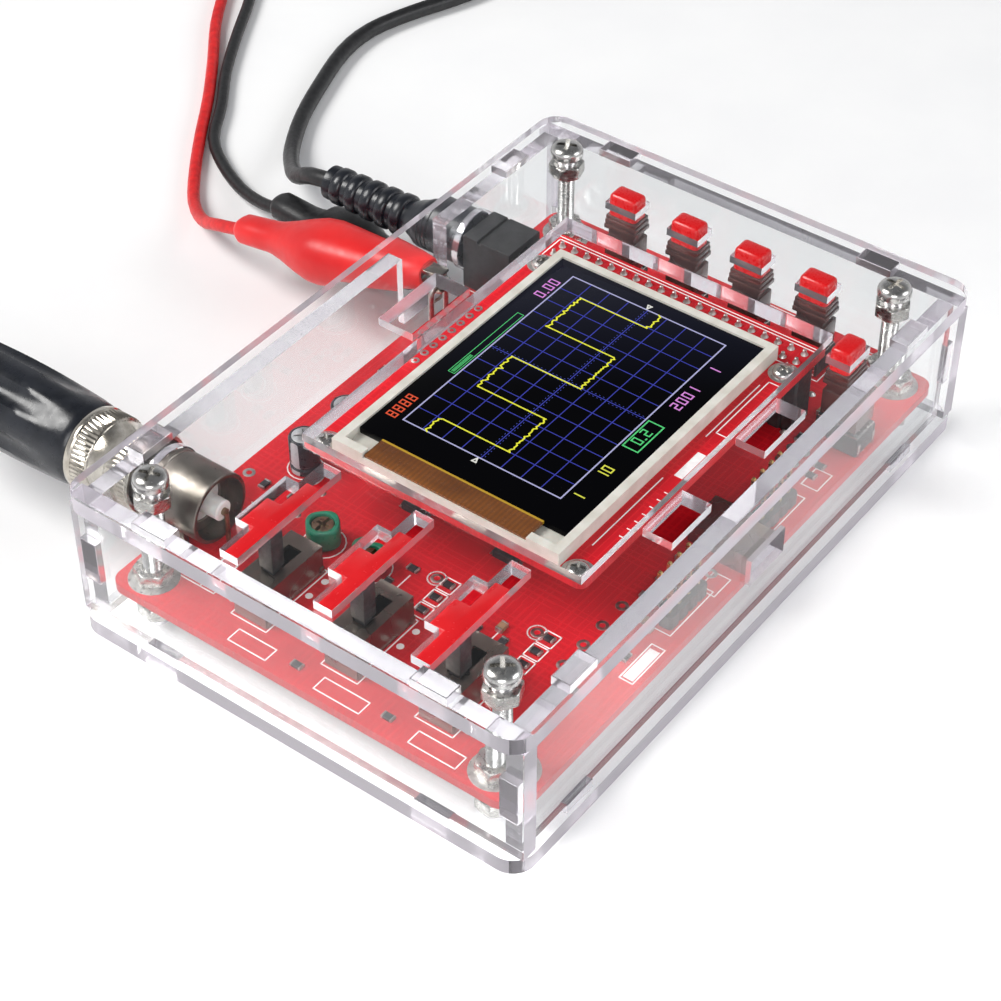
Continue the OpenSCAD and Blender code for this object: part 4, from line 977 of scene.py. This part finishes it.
def wind(middle, radii, pitch, low, start, turning, last):
    """Winds a two-layer coil: inwards on the bench, up, then outwards on top."""
    line = []
    steps = 36
    for k in range(1, int(steps * (5 + last)) + 1):
        turn, part = divmod(k, steps)
        degrees = 360 * part / steps
        shift = min(max((degrees - 310) / 50, 0), 1)
        out = min(max((degrees - 200) / 50, 0), 1)
        shift, out = [s * s * (3 - 2 * s) for s in (shift, out)]
        if turn < 2:
            r, rise = radii[turn] - pitch * shift, 0
        elif turn == 2:
            lean = math.pi - math.pi / 2 * shift
            r = radii[1] - pitch * shift + pitch * math.cos(lean)
            rise = pitch * math.sin(lean)
        else:
            r, rise = radii[5 - turn] + (pitch * out if turn < 5 else 0), pitch
        a = start + turning * 2 * math.pi * k / steps
        line.append(spot(middle[0] + r * math.cos(a), middle[1] + r * math.sin(a), low + rise))
    return line


def cable(name, line, across, finish, node_names):
    data = bpy.data.curves.new(name, "CURVE")
    data.dimensions = "3D"
    data.bevel_depth = across / 2000
    data.bevel_resolution = 4
    data.use_fill_caps = True
    run = data.splines.new("POLY")
    run.points.add(len(line) - 1)
    for point, place in zip(run.points, line):
        point.co = (*place, 1)
    run.use_smooth = True
    piece = set_out(name, data, finish, "case")
    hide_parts(*node_names)
    return piece


power_line = lay_points([spot(*p) for p in [
    (97.5, 114.7, 17.1), (98, 120, 15.8), (102, 127, 10.6), (109, 134.5, 5.6), (117, 141.5, 2.4),
    (127, 147.5, 1.7), (138, 152, 1.7), (150, 156, 1.7), (160, 156.8, 1.7), (170, 154.3, 1.7),
    (180, 150.4, 1.7), (188, 148, 1.7), (194.5, 147.2, 1.7), (205, 147.2, 1.7)]])
power_line += wind((205, 168), (20.8, 17.6, 14.4), 3.2, 1.7, -math.pi / 2, 1, 0.25)
power_line += lay_points([spot(*p) for p in [
    (225.8, 171.5, 4.9), (225.8, 177, 4.8), (226.1, 179.4, 5), (227, 182.3, 5.3)]])
power_cable = cable("power_cable", power_line, 3.2, cable_vinyl, ["dc_cable", "dc_coil"])

test_line = lay_points([spot(*p) for p in [
    (19, 150.1, 17.2), (19, 158, 15.2), (20.5, 168, 9), (25, 180, 3.4), (32, 191, 1.8),
    (42, 203, 1.8), (54, 215, 1.8), (67, 227, 1.8), (81, 238.5, 1.8), (96, 249, 1.8),
    (111, 256.8, 1.8), (125, 261.2, 1.8), (139.5, 262.4, 1.8), (150, 262.4, 1.8)]])
test_line += wind((150, 240), (22.4, 19.0, 15.6), 3.4, 1.8, math.pi / 2, -1, 0.25)
test_line += lay_points([spot(*p) for p in [
    (172.4, 236, 5.2), (172.4, 229.6, 5.1), (172.4, 226, 4.3), (172.4, 221.9, 3.2)]])
test_cable = cable("test_cable", test_line, 3.4, cable_vinyl, ["probe_cable", "probe_coil"])

# ---------------------------------------------------------------- test wires
# Two soft single wires of the test lead, red and black silicone, from the split to the clips.
red_silicone = speckled(
    "red_silicone", (700, 3, (0.55, 0.004, 0.006), (0.72, 0.012, 0.012)), (1500, 3, 0.36, 0.5),
    (2600, 3, 0.2, 5e-05),
    {"Subsurface Weight": 0.08, "Subsurface Radius": (0.002, 0.0005, 0.0004), "Subsurface Scale": 0.5})
red_line = lay_points([spot(*p) for p in [
    (171, 214.9, 3.2), (170, 207, 2.6), (164, 199.5, 1.8), (154, 192, 1.3), (143, 184.5, 1.3),
    (132, 175.5, 1.3), (121, 167, 1.3), (111, 160, 1.3), (101, 152.5, 1.3), (93, 145.5, 1.7),
    (87.5, 138, 4), (84.2, 131, 8), (83, 124.3, 10.6)]])
red_lead = cable("red_lead", red_line, 2.4, red_silicone, ["red_wire"])
black_line = lay_points([spot(*p) for p in [
    (173.8, 214.9, 3.2), (172.5, 203, 2.4), (166, 193.5, 1.6), (155, 185.5, 1.3), (143, 178.5, 1.3),
    (131, 171, 1.3), (120.8, 163.3, 1.3), (111.5, 157, 1.3), (106, 149.8, 1.3), (101.8, 141.5, 1.6),
    (99.2, 134, 3), (98, 128.5, 4.6)]])
black_lead = cable("black_lead", black_line, 2.4, cable_vinyl, ["black_wire"])

# ---------------------------------------------------------------- signal socket
# A bayonet signal socket: a die-cast shell with worn dull nickel, bolted through the back panel.
# Its white PTFE core carries a bent contact pin, soldered into the board; the ground legs are cast on.
dull_nickel = speckled(
    "dull_nickel", (160, 5, (0.12, 0.105, 0.09), (0.3, 0.27, 0.24), 0.2, 0.8), (900, 4, 0.26, 0.42),
    (1400, 4, 0.2, 4e-05), {"Metallic": 1.0})
to_back = spin_about("X", -90)
signal_x, signal_z = 19, 17.2
shell = turned([(3.62, 3.2), (5.2, 3.2), (5.35, 0.0), (5.85, 0.0), (6.0, 0.18), (6.0, 8.6), (5.85, 8.75),
                (5.85, 9.0), (6.0, 9.15), (6.0, 9.98), (4.9, 9.98), (4.9, 22.9), (4.65, 23.4), (4.2, 23.5),
                (4.1, 23.2), (4.1, 12.0), (3.62, 12.0), (3.62, 3.2)], 48)
lugs = [moved(turned([(0, 0), (0.85, 0), (0.9, 0.1), (0.9, 1.7), (0.75, 1.8), (0, 1.8)], 14),
              Vector((s * 0.0052, 0, 0.019)))
        for s in (-1, 1)]
ground = [set_block(19 + s * 4 - 0.5, 75.5, board_top, 1.0, 2.0, 3.1, 0.1) for s in (-1, 1)]
socket_shell = solid("socket_shell", joined(moved(joined(shell, *lugs), spot(signal_x, 71.5, signal_z), to_back),
                                            *ground),
                     dull_nickel, "case")
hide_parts("bnc_shell")
white_core = speckled(
    "white_core", (500, 3, (0.7, 0.68, 0.65), (0.84, 0.83, 0.81)), (900, 3, 0.3, 0.45),
    more={"Subsurface Weight": 0.15, "Subsurface Scale": 0.001})
core = turned([(0, -0.7), (1.5, -0.7), (1.75, -0.5), (1.75, 3.6), (3.55, 3.6), (3.55, 11), (0, 11)], 32)
socket_core = solid("socket_core", moved(core, spot(signal_x, 71.5, signal_z), to_back), white_core, "case")
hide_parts("bnc_insulator")
bronze = plated_steel("bronze", (0.16, 0.10, 0.06), (0.34, 0.24, 0.15), 0.3, 0.45)
finish_node("bnc_contact", bronze)
solid("socket_legend", ink([frame_box_line(12.2, 66.2, 13.8, 13.6), [(12.2, 69), (26, 69)],
                            [(19, 66.2), (19, 69)], [(26.6, 72), (28.6, 74), (28.6, 70), (26.6, 72)]], board_top),
                            legend_ink, "case", smooth=False)

# ---------------------------------------------------------------- power socket
# A moulded black nylon barrel socket with a nickel centre pin, soldered at the back edge.
# Its front flange is moulded in one with the block, behind a shallow groove.
jack_black = speckled(
    "jack_black", (400, 4, (0.01, 0.01, 0.011), (0.024, 0.024, 0.025)), (1200, 3, 0.34, 0.5),
    (2600, 2, 0.35, 5e-05))
power_x, power_z = 97.5, 17.1
jack = set_block(93, 67.6, board_top, 9, 13.6, 10.9, 0.3)
jack = cut_out(jack, moved(turned([(0, 0), (3.05, 0), (3.05, 15), (0, 15)], 32), spot(power_x, 69.6, power_z),
                           to_back))
jack = cut_out(jack, set_block(92, 77.4, board_top + 10.4, 11, 0.7, 2))
jack = cut_out(jack, set_block(92, 67, board_top + 9.3, 11, 4.2, 3))
jack_shell = solid("jack_shell", jack, jack_black, "case")
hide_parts("dc_jack")
finish_node("dc_jack_pin", nut_nickel)

# ---------------------------------------------------------------- test terminal
# A loop of thick tinned wire soldered into the board, where the red clip bites.
finish_node("test_terminal", tin)

# ---------------------------------------------------------------- test plug
# The test lead's bayonet plug: a turned, nickel-plated brass ring with two finely milled bands.
# The black moulded grip behind it has six long scoops for the fingers, and narrows to the cable.
bright_nickel = plated_steel("bright_nickel", (0.46, 0.42, 0.36), (0.66, 0.62, 0.55), 0.12, 0.22)


def milled(r, h, a):
    if (0.5 < h < 3.3 or 7.4 < h < 10.6) and r > 6.8:
        return r + 0.13 * math.cos(60 * a)
    return r


plug_ring = turned([(6.2, 0), (6.7, 0), (6.95, 0.3), (7.0, 0.55), (7.0, 3.2), (6.85, 3.4), (6.7, 3.6), (6.7, 7.2),
                    (6.95, 7.45), (7.02, 7.6), (7.02, 10.4), (6.95, 10.7), (7.2, 11.0), (7.2, 11.7), (7.0, 12),
                    (4.3, 12), (4.3, 10), (6.2, 10), (6.2, 0)], 120, milled)
ring_piece = solid("plug_ring", moved(plug_ring, spot(signal_x, 86.5, signal_z), to_back), bright_nickel, "case")
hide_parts("bnc_plug_ring")
grip_black = speckled(
    "grip_black", (300, 4, (0.0045, 0.006, 0.01), (0.011, 0.013, 0.019)), (700, 3, 0.24, 0.38),
    (2400, 3, 0.3, 5e-05), {"Coat Weight": 0.2, "Coat Roughness": 0.2})


def scooped(r, h, a):
    if 3 < h < 36:
        fade = math.sin(math.pi * (h - 3) / 33)
        return r - 1.15 * fade * max(0.0, math.cos(6 * a)) ** 0.8
    return r


grip = turned([(4.2, 0), (6.7, 0), (7.1, 0.4), (7.3, 1.5), (7.45, 3)] + [
    (7.45 + 0.45 * math.sin(math.pi * k / 18), 3 + 1.5 * k) for k in range(1, 18)] + [
    (7.0, 30), (6.2, 32.5), (5.2, 35), (4.5, 37), (4.0, 38)] + [
    (q, 38.6 + 2.4 * k + s) for k in range(5)
    for q, s in ((2.8 - 0.1 * k, 0), (3.5 - 0.17 * k, 0.45), (3.5 - 0.17 * k, 1.5), (2.8 - 0.1 * k, 1.95))] + [
    (2.2, 51.3), (1.75, 51.4), (1.75, 49), (0, 49), (0, 6), (4.2, 6), (4.2, 0)], 72, scooped)
grip_piece = solid("plug_grip", moved(grip, spot(signal_x, 98.5, signal_z), to_back), grip_black, "case")
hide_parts("bnc_plug_body")

# ---------------------------------------------------------------- power plugs
# A barrel plug moulded onto each end of the power lead: a nickel sleeve in a black grip.
# The grip has three fine rings and a shoulder, then a strain relief of five soft ribs.
def barrel_plug():
    relief_ribs = []
    for k in range(5):
        z, r = 14.9 + 3.5 * k, 3.95 - 0.12 * k
        relief_ribs += [(3.3 - 0.08 * k, z), (r - 0.25, z + 0.15), (r, z + 0.5), (r, z + 1.9), (r - 0.3, z + 2.3),
                        (3.3 - 0.08 * k, z + 2.45)]
    rings = []
    for z in (7.6, 8.5, 9.4):
        rings += [(5.2, z - 0.2), (5.02, z - 0.1), (5.02, z + 0.1), (5.2, z + 0.2)]
    return turned([(2.8, 0), (4.7, 0), (5.05, 0.15), (5.2, 0.6)] + rings
                  + [(5.2, 10.3), (5.05, 10.9), (4.6, 11.6), (4.1, 12.9),
                   (3.4, 14.2)] + relief_ribs
                   + [(3.2, 32.2), (3.15, 32.9), (2.8, 33.1), (1.62, 33.1), (1.62, 30), (0, 30), (0, 3), (2.8, 3),
                      (2.8, 0)], 40)


def barrel_sleeve():
    return turned([(1.4, -9.3), (2.45, -9.4), (2.7, -9.15), (2.72, -8.8), (2.72, 2.9), (0, 2.9), (0, -2),
                   (1.4, -2), (1.4, -9.3)], 32)


to_front = spin_about("X", 90)
plug_place, far_place = spot(power_x, 81.5, power_z), spot(227, 215.1, 5.3)
power_grip = solid("power_grip", moved(barrel_plug(), plug_place, to_back), grip_black, "case")
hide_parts("dc_plug")
solid("power_sleeve", moved(barrel_sleeve(), plug_place, to_back), bright_nickel, "case")
far_grip = solid("far_grip", moved(barrel_plug(), far_place, to_front), grip_black, "case")
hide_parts("dc_far_plug")
far_sleeve = solid("far_sleeve", moved(barrel_sleeve(), far_place, to_front), bright_nickel, "case")

# ---------------------------------------------------------------- lead split
# A small moulded black split, where the test cable divides into its red and black wires.
# It is tapered towards the cable, with three shallow grip rings.
def flattened(r, h, a):
    return r * (1 - 0.12 * math.sin(a) ** 2)


split = turned([(0, 0), (2.7, 0), (3.05, 0.3), (3.1, 0.8), (3.1, 1.5), (2.9, 1.65), (2.9, 1.95), (3.1, 2.1),
                (3.1, 2.7), (2.9, 2.85), (2.9, 3.15), (3.05, 3.3), (3.0, 4.2), (2.7, 5.0), (2.35, 5.6),
                (2.3, 6.6), (2.0, 7), (0, 7)], 36, flattened)
split_piece = solid("split", moved(split, spot(172.4, 215, 3.2), to_back), grip_black, "case")
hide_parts("lead_split")

# ---------------------------------------------------------------- clips
# Two sprung crocodile clips of bent, plated steel with toothed jaws, each in a soft vinyl boot.
# The boots are dip-moulded: narrow at the nose, fat over the spring, with a plain collar.
boot_red = speckled(
    "boot_red", (90, 4, (0.62, 0.006, 0.008), (0.76, 0.016, 0.016)), (600, 3, 0.32, 0.46),
    (420, 4, 0.16, 0.00015),
    {"Subsurface Weight": 0.1, "Subsurface Radius": (0.003, 0.0006, 0.0005), "Subsurface Scale": 0.6})


def boot_side(r, h, a):
    n = 2.5
    return r / (abs(math.cos(a)) ** n + abs(math.sin(a) / 0.86) ** n) ** (1 / n)


def boot(length):
    fat = length * 0.57
    shape = [(3.0, 2.6), (3.4, 3.0), (6.0, 3.6), (10, 4.3), (15, 5.0), (fat - 5, 5.8), (fat - 1.5, 6.15),
             (fat + 1, 6.0), (fat + 4, 5.2), (length - 12.5, 4.0), (length - 9.6, 3.2), (length - 8.0, 3.0),
             (length - 4.0, 2.9), (length - 1.2, 2.8), (length - 0.3, 2.5)]
    fine = []
    for (z0, r0), (z1, r1) in zip(shape, shape[1:]):
        cuts = max(1, int((z1 - z0) / 1.6))
        fine += [(r0 + (r1 - r0) * k / cuts, z0 + (z1 - z0) * k / cuts) for k in range(cuts)]
    return turned([(0, 9), (1.75, 9), (1.75, 3.2)] + fine
                  + [(2.2, length - 0.2), (1.9, length), (0, length)], 36, boot_side)


def jaws():
    parts = []
    for s in (-1, 1):
        plate = block(-2.1, -0.28, -0.6, 4.2, 0.56, 13.0, 0.1)
        for v in plate.verts:
            t = (v.co.z * 1000 + 0.6) / 13.0
            v.co.x *= 0.62 + 0.38 * t
            v.co.y += s * (0.9 + 1.5 * t - 0.03 * (v.co.x * 1000) ** 2) / 1000
        parts.append(plate)
        for k in range(6):
            tooth = block(-1.25, -0.3, -0.3, 2.5, 0.6, 0.6)
            bmesh.ops.transform(tooth, matrix=spin_about("X", 45), verts=tooth.verts)
            bmesh.ops.translate(tooth, vec=(0, s * (0.72 + 0.1 * k) / 1000, (0.1 + 0.85 * k) / 1000),
                                verts=tooth.verts)
            parts.append(tooth)
    return joined(*parts)


red_place = Matrix.Translation(spot(83, 78.8, 19.6)) @ to_back @ spin_about("X",
                                                                            -10.5) @ Matrix.Translation((0, 0,
                                                                                                         -0.001))
black_place = Matrix.Translation(spot(94, 89.5, 6.2)) @ spin_about("Z", -5.5) @ to_back
red_boot = solid("red_boot", moved(boot(47), turn=red_place), boot_red, "case")
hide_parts("red_clip")
red_jaws = solid("red_jaws", moved(jaws(), turn=red_place), bright_nickel, "case")
black_boot = solid("black_boot", moved(boot(39), turn=black_place), cable_vinyl, "case")
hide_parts("black_clip")
black_jaws = solid("black_jaws", moved(jaws(), turn=black_place), bright_nickel, "case")
